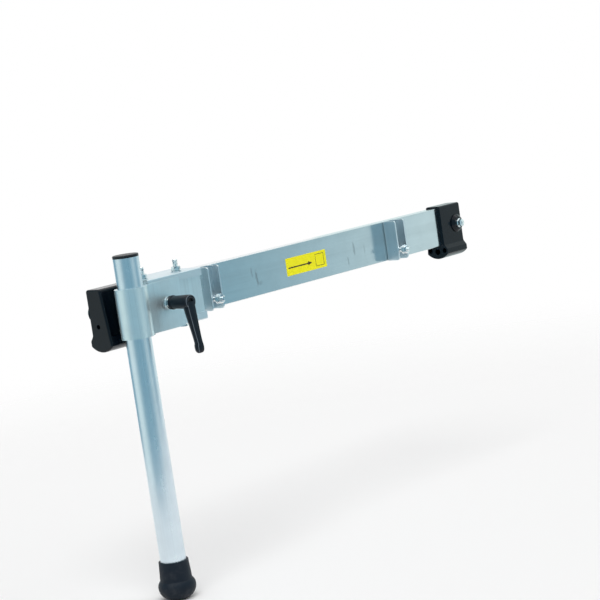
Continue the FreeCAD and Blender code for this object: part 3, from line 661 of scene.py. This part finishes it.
MARKS = (
    Mark(-108.0, -40.0, 4.0, 17.0, 0.6), Mark(-119.0, -30.0, 3.0, 12.0, 0.35),
    Mark(-100.0, -50.0, 8.0, 5.0, 0.3), Mark(148.0, -36.0, 4.0, 17.0, 0.5),
    Mark(129.0, -52.0, 3.0, 9.0, 0.4), Mark(176.0, -40.0, 3.0, 13.0, 0.25),
)
BAR_METAL = DrawnAluminium("bar_aluminium", (0.74, 0.80, 0.82), 0.12, along=Axis.X, marks=MARKS)
BRACKET_METAL = DrawnAluminium("bracket_aluminium", (0.76, 0.82, 0.85), 0.24, along=Axis.Z)
SLEEVE_METAL = DrawnAluminium("sleeve_aluminium", (0.72, 0.84, 0.87), 0.32, metal=0.9, along=Axis.Z,
                              bloom_and_painted_reflection=0.07, streaks=0.45)
CHANNEL_METAL = DrawnAluminium("channel_aluminium", (0.68, 0.78, 0.82), 0.34, metal=0.9, along=Axis.X)
LEG_METAL = DrawnAluminium("leg_aluminium", (0.72, 0.82, 0.88), 0.24, along=Axis.Z, line_depth=0.00001)
FOOT_PLASTIC = MouldedPlastic("foot_plastic", (0.0015, 0.004, 0.008), 0.16, shine=0.25)
PLUG_PLASTIC = MouldedPlastic("plug_plastic", (0.006, 0.009, 0.012), 0.38, shine=0.3)
LEVER_PLASTIC = MouldedPlastic("lever_plastic", (0.003, 0.007, 0.013), 0.32, shine=0.25, grain=0.00003)
# Lighter grey plastic for the lever's ridge and rim faces: a painted highlight line
LEVER_PAINTED_HIGHLIGHT = MouldedPlastic("lever_worn_edge", (0.10, 0.125, 0.15), 0.35, shine=0.4, grain=0.00001)
BOOT_RUBBER = DustyRubber("boot_rubber", (0.003, 0.009, 0.018), 0.50, shine=0.2)
ZINC = ZincPlate("zinc_plate", (0.86, 0.90, 0.90), 0.16)
BLACK_STEEL = MouldedPlastic("black_steel", (0.02, 0.02, 0.022), 0.35, metal=0.6, grain=0.00001)
LABEL_YELLOW = PrintedFilm("label_yellow", (0.86, 0.82, 0.004), 0.45, shine=0.15)
LABEL_BLACK = PrintedFilm("label_black", (0.05, 0.035, 0.01), 0.42, shine=0.3)


# Mesh building


@dataclass
class Shell:
    """Points and faces of a mesh while it is built, in millimetres."""

    points: list[Vector] = field(default_factory=list)
    faces: list[tuple[int, ...]] = field(default_factory=list)
    slots: list[int] = field(default_factory=list)

    def add(self, points: Iterable[Vector], faces: Iterable[tuple[int, ...]], slot: int = 0) -> None:
        """Add a form.

        Args:
            points: Its points.
            faces: Its faces, numbered from its own first point.
            slot: Number of its material.
        """
        base = len(self.points)
        self.points.extend(points)
        for face in faces:
            self.faces.append(tuple(base + index for index in face))
            self.slots.append(slot)

    def join(self, other: "Shell", matrix: Matrix) -> None:
        """Add another shell, moved by a matrix."""
        base = len(self.points)
        self.points.extend(matrix @ point for point in other.points)
        self.faces.extend(tuple(base + index for index in face) for face in other.faces)
        self.slots.extend(other.slots)

    def build(self, name: str, finishes: list[Finish], smooth_deg: float = 35.0) -> bpy.types.Object:
        """Make the object.

        Args:
            name: Name of the piece.
            finishes: Finishes by slot number.
            smooth_deg: Edges that turn less than this are shaded smooth.

        Returns:
            The object, in metres.
        """
        mesh = bpy.data.meshes.new(name)
        mesh.from_pydata([point * MM for point in self.points], [], self.faces)
        for finish in finishes:
            mesh.materials.append(finish.material())
        for polygon, slot in zip(mesh.polygons, self.slots):
            polygon.material_index = slot
            polygon.use_smooth = True
        mesh.validate()
        solid = bmesh.new()
        solid.from_mesh(mesh)
        bmesh.ops.recalc_face_normals(solid, faces=solid.faces)
        solid.to_mesh(mesh)
        solid.free()
        mesh.set_sharp_from_angle(angle=math.radians(smooth_deg))
        made = bpy.data.objects.new(name, mesh)
        bpy.context.scene.collection.objects.link(made)
        return made


def lathe(rings: list[Ring], steps: int) -> Shell:
    """Turn rings whose radius and level may change with the angle.

    Args:
        rings: For each ring the radius and the level as functions of the angle.
        steps: Sides of each ring.

    Returns:
        Shell closed from the last ring back to the first.
    """
    shell = Shell()
    points = []
    for radius, level in rings:
        for step in range(steps):
            angle = 2 * math.pi * step / steps
            reach = radius(angle)
            points.append(Vector((reach * math.cos(angle), reach * math.sin(angle), level(angle))))
    faces = []
    count = len(rings)
    for ring in range(count):
        after = (ring + 1) % count
        for step in range(steps):
            turn = (step + 1) % steps
            faces.append((ring * steps + step, ring * steps + turn,
                          after * steps + turn, after * steps + step))
    shell.add(points, faces)
    return shell


def fixed(value: float) -> Callable[[float], float]:
    """Function that always gives one value."""
    return lambda angle: value


def tube_faces(rings: int, sides: int) -> list[tuple[int, ...]]:
    """Faces of a tube with closed ends: first end, then the sides, then the last end."""
    last = (rings - 1) * sides
    faces = [tuple(range(sides))]
    for ring in range(0, last, sides):
        for step in range(sides):
            after = (step + 1) % sides
            faces.append((ring + step, ring + sides + step, ring + sides + after, ring + after))
    faces.append(tuple(reversed(range(last, last + sides))))
    return faces


def plain_rings(outline: Iterable[tuple[float, float]]) -> list[Ring]:
    """Round rings from an outline of radius and level."""
    return [(fixed(radius), fixed(level)) for radius, level in outline]


def hex_reach(flats: float) -> Callable[[float], float]:
    """Radius of a hexagon at an angle, from its size across the flats."""
    return lambda angle: flats / 2 / math.cos((angle + math.pi / 6) % (math.pi / 3) - math.pi / 6)


def hex_block(flats: float, height: float, bore: float, both: bool) -> Shell:
    """Hexagon with chamfered corners, standing on its base.

    Args:
        flats: Size across the flats.
        height: Height.
        bore: Radius of its hole, nearly nought for a head.
        both: True to chamfer both ends, as on a nut.

    Returns:
        The shell.
    """
    reach = hex_reach(flats)
    inner = flats / 2 * HEX_FACE

    def fall(angle: float) -> float:
        """Drop of the chamfer at the hexagon's side."""
        return (reach(angle) - inner) * HEX_SLOPE

    low = (reach, fall) if both else (reach, fixed(0.0))
    rings = [(fixed(bore), fixed(0.0)), (fixed(inner), fixed(0.0)), low,
             (reach, lambda angle: height - fall(angle)), (fixed(inner), fixed(height)),
             (fixed(bore), fixed(height))]
    return lathe(rings, HEX_SIDES)


def thread(radius: float, length: float, pitch: float, tip: float) -> Shell:
    """Threaded rod along Z from nought, with one helical ridge and a chamfered end.

    Args:
        radius: Outer radius.
        length: Length.
        pitch: Rise of the thread for each turn.
        tip: Length of the chamfer.

    Returns:
        The shell.
    """
    depth = THREAD_DEPTH * pitch
    rows = max(int(length / pitch * THREAD_ROWS), 4)

    def reach(level: float) -> Callable[[float], float]:
        """Radius round one level."""

        def at(angle: float) -> float:
            """Radius at one angle."""
            phase = (level / pitch - angle / (2 * math.pi)) % 1.0
            ridge = min(1.0, 1.6 * abs(2 * phase - 1))
            limit = radius - max(0.0, level - (length - tip)) * 0.8
            return min(radius - depth * (1 - ridge), limit)

        return at

    rings = [(fixed(CORE), fixed(0.0))]
    rings += [(reach(length * row / rows), fixed(length * row / rows)) for row in range(rows + 1)]
    rings.append((fixed(CORE), fixed(length)))
    return lathe(rings, ROD_SIDES)


def rounded_corners(corners: list[tuple[float, float, float]], share: float) -> list[tuple[float, float]]:
    """Round the corners of a closed outline.

    Args:
        corners: Across, deep and radius of each corner.
        share: Share of the radii that is used.

    Returns:
        Points of the rounded outline, the same number for every outline of as many corners.
    """
    points = []
    count = len(corners)
    for index, (across, deep, radius) in enumerate(corners):
        here = Vector((across, deep))
        before = Vector(corners[index - 1][:2]) - here
        after = Vector(corners[(index + 1) % count][:2]) - here
        half = before.angle(after) / 2
        cut = min(radius * share / math.tan(half), before.length * CORNER_SHARE, after.length * CORNER_SHARE)
        start = here + before.normalized() * cut
        end = here + after.normalized() * cut
        for step in range(CORNER_STEPS + 1):
            part = step / CORNER_STEPS
            spot = start * (1 - part) ** 2 + here * 2 * part * (1 - part) + end * part ** 2
            points.append((spot.x, spot.y))
    return points


def facing_matrix(spot: Point, facing: Facing) -> Matrix:
    """Matrix that turns +Z to a direction and moves to a place in millimetres."""
    turn = Vector((0, 0, 1)).rotation_difference(Vector(facing.value)).to_matrix().to_4x4()
    return Matrix.Translation(Vector(spot)) @ turn


def dress(node: str, finish: Finish) -> None:
    """Give a carried-over piece its finish.

    Args:
        node: Name of the piece.
        finish: Finish.
    """
    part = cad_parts[node]
    part.data.materials.clear()
    part.data.materials.append(finish.material())
    LOG.info("%s: %s", node, finish.name)


def settle(piece: bpy.types.Object, body: str, slot: str, *nodes: str) -> bpy.types.Object:
    """Let a new piece ride on a body, in the place of the named nodes.

    Args:
        piece: The piece.
        body: Body that carries it.
        slot: Material slot of the record. Not used.
        nodes: Nodes that it stands for.

    Returns:
        The piece.
    """
    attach(piece, body)
    if nodes:
        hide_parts(*nodes)
    LOG.info("%s: %d faces on %s", piece.name, len(piece.data.polygons), body)
    return piece


# Assemblies


@dataclass
class Fastener:
    """Sizes of the M8 fasteners, in millimetres."""

    radius: float = 4.0
    pitch: float = 1.25
    flats: float = 13.0
    head: float = 5.3
    nut: float = 6.8
    tip: float = 1.0
    sunk: float = 0.5
    play: float = 0.02

    def bolt(self, shank: float, plain: float) -> Shell:
        """Bolt with its head below nought and its shank upwards.

        Args:
            shank: Length under the head.
            plain: Length of the shank that has no thread.

        Returns:
            The shell.
        """
        made = Shell()
        made.join(hex_block(self.flats, self.head, CORE, False),
                  Matrix.Rotation(math.pi, 4, "X"))
        stem = [(CORE, -self.sunk), (self.radius, -self.sunk), (self.radius, plain), (CORE, plain)]
        made.join(lathe(plain_rings(stem), ROD_SIDES), Matrix.Identity(4))
        made.join(thread(self.radius, shank - plain, self.pitch, self.tip),
                  Matrix.Translation((0, 0, plain)))
        return made

    def nut_block(self) -> Shell:
        """Nut that stands on its base."""
        return hex_block(self.flats, self.nut, self.radius + self.play, True)


def zinc_set(name: str, node: str, form: Shell, places: Iterable[Matrix]) -> None:
    """Put a plated form at several places, as one piece of the frame.

    Args:
        name: Name of the piece.
        node: Node that it stands for.
        form: The form.
        places: Its places.
    """
    shell = Shell()
    for place in places:
        shell.join(form, place)
    settle(shell.build(name, [ZINC]), "frame", "zinc_steel", node)


@dataclass
class Crossbar:
    """Rectangular tube with its plain label film."""

    label_x: float = 19.0
    label_z: float = -36.6
    label_wide: float = 104.0
    label_tall: float = 30.0
    label_corner: float = 1.2
    front: float = -11.0
    film: float = 0.12
    ink: float = 0.03
    arrow: tuple[tuple[float, float], ...] = (
        (-47.0, -3.0), (4.0, -3.0), (4.0, -5.6), (15.0, -1.9), (4.0, 1.8), (4.0, -0.8), (-47.0, -0.8))
    box: tuple[float, float, float, float] = (24.0, -10.5, 46.0, 10.5)
    box_line: float = 0.9

    def label(self) -> bpy.types.Object:
        """Thin film on the bar's front, printed with a plain arrow and a frame.

        Returns:
            The piece.
        """
        shell = Shell()
        outline = self._rounded(self.label_wide / 2, self.label_tall / 2, self.label_corner)
        self._sheet(shell, outline, self.front, self.film, 0)
        left, low, right, high = self.box
        line = self.box_line
        bars = ((left, low, right, low + line), (left, high - line, right, high),
                (left, low + line, left + line, high - line), (right - line, low + line, right, high - line))
        prints = [self.arrow]
        prints += [((x0, z0), (x1, z0), (x1, z1), (x0, z1)) for x0, z0, x1, z1 in bars]
        for printed in prints:
            self._sheet(shell, printed, self.front - self.film, self.ink, 1)
        return shell.build("label_film", [LABEL_YELLOW, LABEL_BLACK])

    def _rounded(self, wide: float, tall: float, radius: float) -> list[tuple[float, float]]:
        """Rectangle with round corners about nought."""
        spots = []
        for turn, (side, up) in enumerate(((1, 1), (-1, 1), (-1, -1), (1, -1))):
            for step in range(CORNER_STEPS + 1):
                angle = math.pi / 2 * (turn + step / CORNER_STEPS)
                spots.append((side * (wide - radius) + radius * math.cos(angle),
                              up * (tall - radius) + radius * math.sin(angle)))
        return spots

    def _sheet(self, shell: Shell, outline: Iterable[tuple[float, float]], back: float, thick: float,
               slot: int) -> None:
        """Add a flat sheet that lies against the front of something.

        Args:
            shell: Shell to add to.
            outline: Points across and up from the label's middle, anticlockwise.
            back: Y of its back face.
            thick: Thickness.
            slot: Number of its material.
        """
        outline = list(outline)
        count = len(outline)
        points = [Vector((self.label_x + x, depth, self.label_z + z))
                  for depth in (back, back - thick) for x, z in outline]
        faces = [tuple(range(count, 2 * count)), tuple(reversed(range(count)))]
        faces += [(step, (step + 1) % count, count + (step + 1) % count, count + step)
                  for step in range(count)]
        shell.add(points, faces, slot)

    def build(self) -> None:
        """Dress the bar and lay the label on it."""
        dress("crossbar", BAR_METAL)
        dress("bar_spacers", CHANNEL_METAL)
        settle(self.label(), "frame", "bar_aluminium")


@dataclass
class EndFeet:
    """Moulded end feet with their screws."""

    screw_x: float = 443.0
    screw_z: float = -34.0
    face: float = 24.0
    washer: float = 1.6
    shank: float = 22.6
    plain: float = 3.0
    fastener: Fastener = field(default_factory=Fastener)

    def build(self) -> None:
        """Dress the mouldings and make the screws."""
        for node in ("end_foot_left", "end_foot_right"):
            dress(node, FOOT_PLASTIC)
        dress("foot_washers", ZINC)
        dress("foot_rivet_nuts", ZINC)
        seat = self.face + self.washer
        zinc_set("foot_screw_pair", "foot_screws", self.fastener.bolt(self.shank, self.plain),
                 [facing_matrix((self.screw_x, -seat, self.screw_z), Facing.REAR),
                  facing_matrix((-self.screw_x, seat, self.screw_z), Facing.FRONT)])


@dataclass
class StileBrackets:
    """U-shaped seats for the stiles, with bolts, washers and nuts."""

    bolt_x: tuple[float, float] = (-235.0, 249.0)
    bolt_z: float = -53.0
    rear: float = 12.6
    nut_y: float = -42.6
    shank: float = 65.5
    plain: float = 30.0
    fastener: Fastener = field(default_factory=Fastener)

    def build(self) -> None:
        """Dress the seats and make the bolts and nuts."""
        for node in ("stile_bracket_left", "stile_bracket_right"):
            dress(node, BRACKET_METAL)
        for node in ("stile_rear_washers", "stile_front_washers"):
            dress(node, ZINC)
        zinc_set("stile_bolt_pair", "stile_bolts", self.fastener.bolt(self.shank, self.plain),
                 [facing_matrix((x, self.rear, self.bolt_z), Facing.FRONT) for x in self.bolt_x])
        zinc_set("stile_nut_pair", "stile_nuts", self.fastener.nut_block(),
                 [facing_matrix((x, self.nut_y, self.bolt_z), Facing.FRONT) for x in self.bolt_x])


@dataclass
class SaddleClamp:
    """Saddle channel and split sleeve with the upright tie bolts."""

    tie_x: tuple[float, float] = (-386.5, -313.0)
    tie_y: float = -35.0
    under: float = -76.5
    nut_z: float = 6.6
    shank: float = 100.9
    plain: float = 70.0
    spins: tuple[float, float] = (17.0, 48.0)
    fastener: Fastener = field(default_factory=Fastener)

    def build(self) -> None:
        """Dress the clamp and make its bolts and nuts."""
        dress("saddle_channel", CHANNEL_METAL)
        dress("clamp_sleeve", SLEEVE_METAL)
        dress("tie_washers", ZINC)
        dress("clamp_nut", ZINC)
        spins = [Matrix.Rotation(math.radians(degrees), 4, "Z") for degrees in self.spins]
        zinc_set("tie_bolt_pair", "tie_bolts", self.fastener.bolt(self.shank, self.plain),
                 [facing_matrix((x, self.tie_y, self.under), Facing.TOP) @ spin
                  for x, spin in zip(self.tie_x, spins)])
        zinc_set("tie_nut_pair", "tie_nuts", self.fastener.nut_block(),
                 [facing_matrix((x, self.tie_y, self.nut_z), Facing.TOP) for x in self.tie_x])


@dataclass
class LevellingLeg:
    """Sliding tube with its plug and rubber foot."""

    def build(self) -> None:
        """Dress the leg's pieces."""
        dress("leg_tube", LEG_METAL)
        dress("leg_plug", PLUG_PLASTIC)
        dress("leg_foot", BOOT_RUBBER)
        dress("leg_foot_disc", ZINC)


@dataclass(frozen=True)
class ArmStation:
    """One section of the lever's arm, in millimetres."""

    down: float
    left: float
    right: float
    deep: float
    lean: float


@dataclass
class ClampingLever:
    """Clamping lever with its stud, insert, screw, spring and washer."""

    axis_x: float = -362.0
    axis_z: float = -36.0
    hub_foot: float = -66.3
    spring_foot: float = -83.0
    spring_long: float = 17.5
    lift: float = 4.0
    wire: float = 0.75
    wire_sides: int = 10
    coil_reach: float = 3.8
    turns: float = 8.0
    closed_turns: float = 1.0
    turn_steps: int = 24
    end_gap: float = 0.05
    arm_y: float = -99.5
    # Faces of each arm ring that carry the painted highlight line
    ridge: tuple[int, int] = (5, 9)
    sides: int = 160
    teeth: int = 20
    tooth_long: float = 3.6
    slot_reach: float = 7.6
    slot_half_deg: float = 5.0
    bore: float = 6.6
    # Rows of the hub that carry the painted highlight rings
    rims: tuple[int, ...] = (12, 15)
    stations: tuple[ArmStation, ...] = (
        ArmStation(0.0, 8.6, 8.6, 7.2, 0.0), ArmStation(8.0, 8.5, 8.7, 7.1, 0.8),
        ArmStation(15.0, 8.2, 8.5, 6.9, 1.7), ArmStation(27.5, 7.4, 8.0, 6.4, 3.5),
        ArmStation(43.0, 6.3, 7.2, 5.6, 5.9), ArmStation(55.0, 5.4, 6.8, 5.2, 7.5),
        ArmStation(63.0, 4.9, 6.8, 5.2, 8.6), ArmStation(65.5, 5.1, 6.9, 5.4, 8.9),
        ArmStation(67.5, 6.4, 7.0, 5.7, 9.1), ArmStation(71.0, 6.8, 7.1, 5.7, 9.3),
        ArmStation(75.0, 6.6, 6.9, 5.4, 9.5), ArmStation(78.0, 5.4, 5.6, 4.5, 9.8),
        ArmStation(79.5, 3.4, 3.4, 2.9, 9.9), ArmStation(80.0, 0.6, 0.6, 0.5, 10.0),
    )

    def toothed(self, angle: float) -> float:
        """Radius of the bore with a slot for each tooth of the insert."""
        pitch = 2 * math.pi / self.teeth
        off = abs((angle + pitch / 2) % pitch - pitch / 2)
        return self.slot_reach if off < math.radians(self.slot_half_deg) else self.bore

    def hub(self) -> Shell:
        """Turned hub with the ring at its foot, the knuckle and the sunk end.

        Returns:
            The shell, with the clamp's side at nought.
        """
        outline = [
            (10.6, 0.0), (11.0, 0.4), (11.0, 3.0), (10.6, 3.4), (10.2, 3.5), (9.9, 3.9), (9.9, 4.6),
            (10.05, 5.2), (10.4, 20.0), (10.8, 30.0), (10.8, 38.8), (10.5, 39.9), (9.7, 40.6), (9.2, 40.7),
            (7.0, 40.7), (6.7, 40.5), (6.6, 40.1), (6.5, 39.8), (5.4, 39.7), (5.15, 39.4), (5.1, 39.0),
            (5.1, 16.6), (2.85, 16.6), (2.85, 13.7), (6.1, 13.7), (6.1, self.tooth_long),
        ]
        inner = (self.toothed, fixed(self.tooth_long))
        turned = lathe([(self.toothed, fixed(0.0)), *plain_rings(outline), inner], self.sides)
        # The rim rows take the lighter finish: painted highlight rings round the knuckle and its sunk end
        for row in self.rims:
            turned.slots[row * self.sides:(row + 1) * self.sides] = [1] * self.sides
        return turned

    def arm(self) -> Shell:
        """Flattened arm with a sharp front corner, a nick and a round tip.

        Returns:
            The shell in the model's place.
        """
        shell = Shell()
        rings = []
        for station in self.stations:
            middle = self.arm_y - station.lean
            corners = [
                (-station.left, middle + station.deep * 0.05, 1.4),
                (-station.left * 0.9, middle - station.deep, 0.8),
                (station.right * 0.15, middle - station.deep * 1.04, 4.0),
                (station.right * 0.85, middle - station.deep, 1.2),
                (station.right, middle, 1.6),
                (station.right * 0.6, middle + station.deep, 1.8),
                (-station.left * 0.6, middle + station.deep, 1.8),
            ]
            rings.append([Vector((self.axis_x + x, y, self.axis_z - station.down))
                          for x, y in rounded_corners(corners, min(1.0, station.deep / 4.0))])
        count = len(rings[0])
        shell.add([point for ring in rings for point in ring], tube_faces(len(rings), count))
        # The ridge faces take the lighter finish: a painted highlight line down the arm's front corner
        for number in range(len(rings) - 1):
            for step in range(self.ridge[0], self.ridge[1]):
                shell.slots[1 + number * count + step] = 1
        return shell

    def handle(self) -> bpy.types.Object:
        """Handle of hub and arm.

        Returns:
            The piece.
        """
        shell = self.arm()
        shell.join(self.hub(), facing_matrix((self.axis_x, self.hub_foot, self.axis_z), Facing.FRONT))
        return shell.build("clamping_lever_handle", [LEVER_PLASTIC, LEVER_PAINTED_HIGHLIGHT], smooth_deg=50.0)

    def spring(self) -> bpy.types.Object:
        """Coil spring between the hub's shelf and the screw's head, with closed ends.

        Returns:
            The piece.
        """
        wire = self.wire
        sides = self.wire_sides
        steps = int(self.turns * self.turn_steps)
        live = self.turns - 2 * self.closed_turns
        rise = (self.spring_long - 2 * wire - 4 * wire * self.closed_turns - 2 * self.end_gap) / live
        points = []
        for step in range(steps + 1):
            turn = self.turns * step / steps
            closed = min(turn, self.closed_turns) + max(turn - live - self.closed_turns, 0.0)
            opened = min(max(turn - self.closed_turns, 0.0), live)
            level = self.end_gap + wire + 2 * wire * closed + rise * opened
            angle = 2 * math.pi * turn
            for side in range(sides):
                about = 2 * math.pi * side / sides
                out = self.coil_reach + wire * math.cos(about)
                lift = level + wire * math.sin(about)
                points.append(Vector((out * math.cos(angle), out * math.sin(angle), lift)))
        coil = Shell()
        coil.add(points, tube_faces(steps + 1, sides))
        shell = Shell()
        shell.join(coil, facing_matrix((self.axis_x, self.spring_foot, self.axis_z), Facing.FRONT))
        return shell.build("return_spring", [BLACK_STEEL], smooth_deg=60.0)

    def build(self) -> None:
        """Dress the lever's pieces and make its handle and its spring."""
        for node in ("lever_washer", "lever_insert", "lever_stud"):
            dress(node, ZINC)
        dress("lever_screw", BLACK_STEEL)
        settle(self.handle(), "lever_handle", "lever_plastic", "lever_handle")
        spring = settle(self.spring(), "lever_core", "spring_steel", "lever_spring")
        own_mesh(spring)


# Studio


@dataclass(frozen=True)
class Sun:
    """Broad even light: the direction to it, its power for each square metre and its spread in degrees."""

    name: str
    towards: Point
    strength: float
    spread: float


@dataclass
class Studio:
    """Pale floor, broad lights, a screen for the reflections, white surroundings and the camera."""

    eye: Point = (-2.3887, -2.1582, 0.2762)
    ahead: Point = (0.73725, 0.66571, -0.11530)
    right: Point = (0.65048, -0.74553, -0.14512)
    lens: float = 114.294
    sensor: float = 36.0
    floor_z: float = -0.4855
    level: float = 0.5
    screen_colour: Colour = (0.23, 0.41, 0.50)
    screen_bearings: tuple[float, float] = (-262.0, 40.0)
    screen_steps: int = 60
    wall: tuple[tuple[float, float], ...] = (
        (850.0, -400.0), (1300.0, -150.0), (2000.0, 600.0), (2500.0, 2300.0))
    floor_half: float = 3000.0
    floor_colour: Colour = (0.90, 0.90, 0.90)
    suns: tuple[Sun, ...] = (
        Sun("key_light", (-0.6, -0.5, 1.3), 1.5, 40.0), Sun("fill_light", (0.9, -0.7, 0.8), 0.7, 50.0))

    def camera(self) -> None:
        """Camera at the photograph's place and angle."""
        data = bpy.data.cameras.new("photo_camera")
        data.sensor_fit = "HORIZONTAL"
        data.sensor_width = self.sensor
        data.lens = self.lens
        made = bpy.data.objects.new("photo_camera", data)
        ahead = Vector(self.ahead).normalized()
        right = Vector(self.right)
        right = (right - ahead * right.dot(ahead)).normalized()
        up = right.cross(ahead)
        turn = Matrix((right, up, -ahead)).transposed()
        made.matrix_world = Matrix.Translation(Vector(self.eye)) @ turn.to_4x4()
        bpy.context.scene.collection.objects.link(made)
        bpy.context.scene.camera = made

    def screen(self) -> None:
        """Add a curved screen, like the wall of a bowl, that only reflections see."""
        start, end = self.screen_bearings
        steps = self.screen_steps
        points = []
        for reach, level in self.wall:
            for step in range(steps + 1):
                angle = math.radians(start + (end - start) * step / steps)
                points.append(Vector((reach * math.cos(angle), reach * math.sin(angle), level)))
        row = steps + 1
        faces = [(base + step, base + step + 1, base + row + step + 1, base + row + step)
                 for base in range(0, row * (len(self.wall) - 1), row) for step in range(steps)]
        shell = Shell()
        shell.add(points, faces)
        made = shell.build("front_screen", [GlowScreen("screen_glow", self.screen_colour, 1.0, shine=0.0)])
        made.visible_camera = False
        made.visible_diffuse = False
        made.visible_shadow = False
        made.visible_transmission = False

    def floor(self) -> None:
        """Pale floor that fades into the white surroundings."""
        half = self.floor_half
        level = self.floor_z / MM
        shell = Shell()
        corners = ((-half, -half), (half, -half), (half, half), (-half, half))
        shell.add([Vector((x, y, level)) for x, y in corners], [(0, 1, 2, 3)])
        shell.build("studio_floor", [PaperFloor("floor_paper", self.floor_colour, 0.9, shine=0.0)])

    def light(self, sun: Sun) -> None:
        """Add one of the broad lights."""
        data = bpy.data.lights.new(sun.name, "SUN")
        data.energy = sun.strength
        data.angle = math.radians(sun.spread)
        made = bpy.data.objects.new(sun.name, data)
        made.rotation_euler = Vector(sun.towards).to_track_quat("Z", "Y").to_euler()
        bpy.context.scene.collection.objects.link(made)

    def world(self) -> None:
        """White surroundings for the camera and for reflections, a softer level for everything else."""
        world = bpy.data.worlds.new("studio_world")
        world.use_nodes = True
        bpy.context.scene.world = world
        graph = Graph(world.node_tree)
        path = graph.make("ShaderNodeLightPath")
        seen = Wire(graph, path.outputs["Is Camera Ray"])
        seen = seen.most(Wire(graph, path.outputs["Is Glossy Ray"]))
        seen = seen.most(Wire(graph, path.outputs["Is Transmission Ray"]))
        back = graph.add("ShaderNodeBackground", inputs={
            "Color": (1.0, 1.0, 1.0), "Strength": seen.most(self.level)})
        graph.make("ShaderNodeOutputWorld", inputs={"Surface": back})

    def build(self) -> None:
        """Set up the whole studio."""
        self.camera()
        self.floor()
        self.world()
        self.screen()
        for sun in self.suns:
            self.light(sun)
        bpy.context.scene.view_settings.view_transform = "Standard"


def main() -> None:
    """Dress the model and set up the studio."""
    logging.basicConfig(level=logging.INFO)
    Studio().build()
    for assembly in (Crossbar(), EndFeet(), StileBrackets(), SaddleClamp(), LevellingLeg(), ClampingLever()):
        assembly.build()


if __name__ == "__main__":
    main()
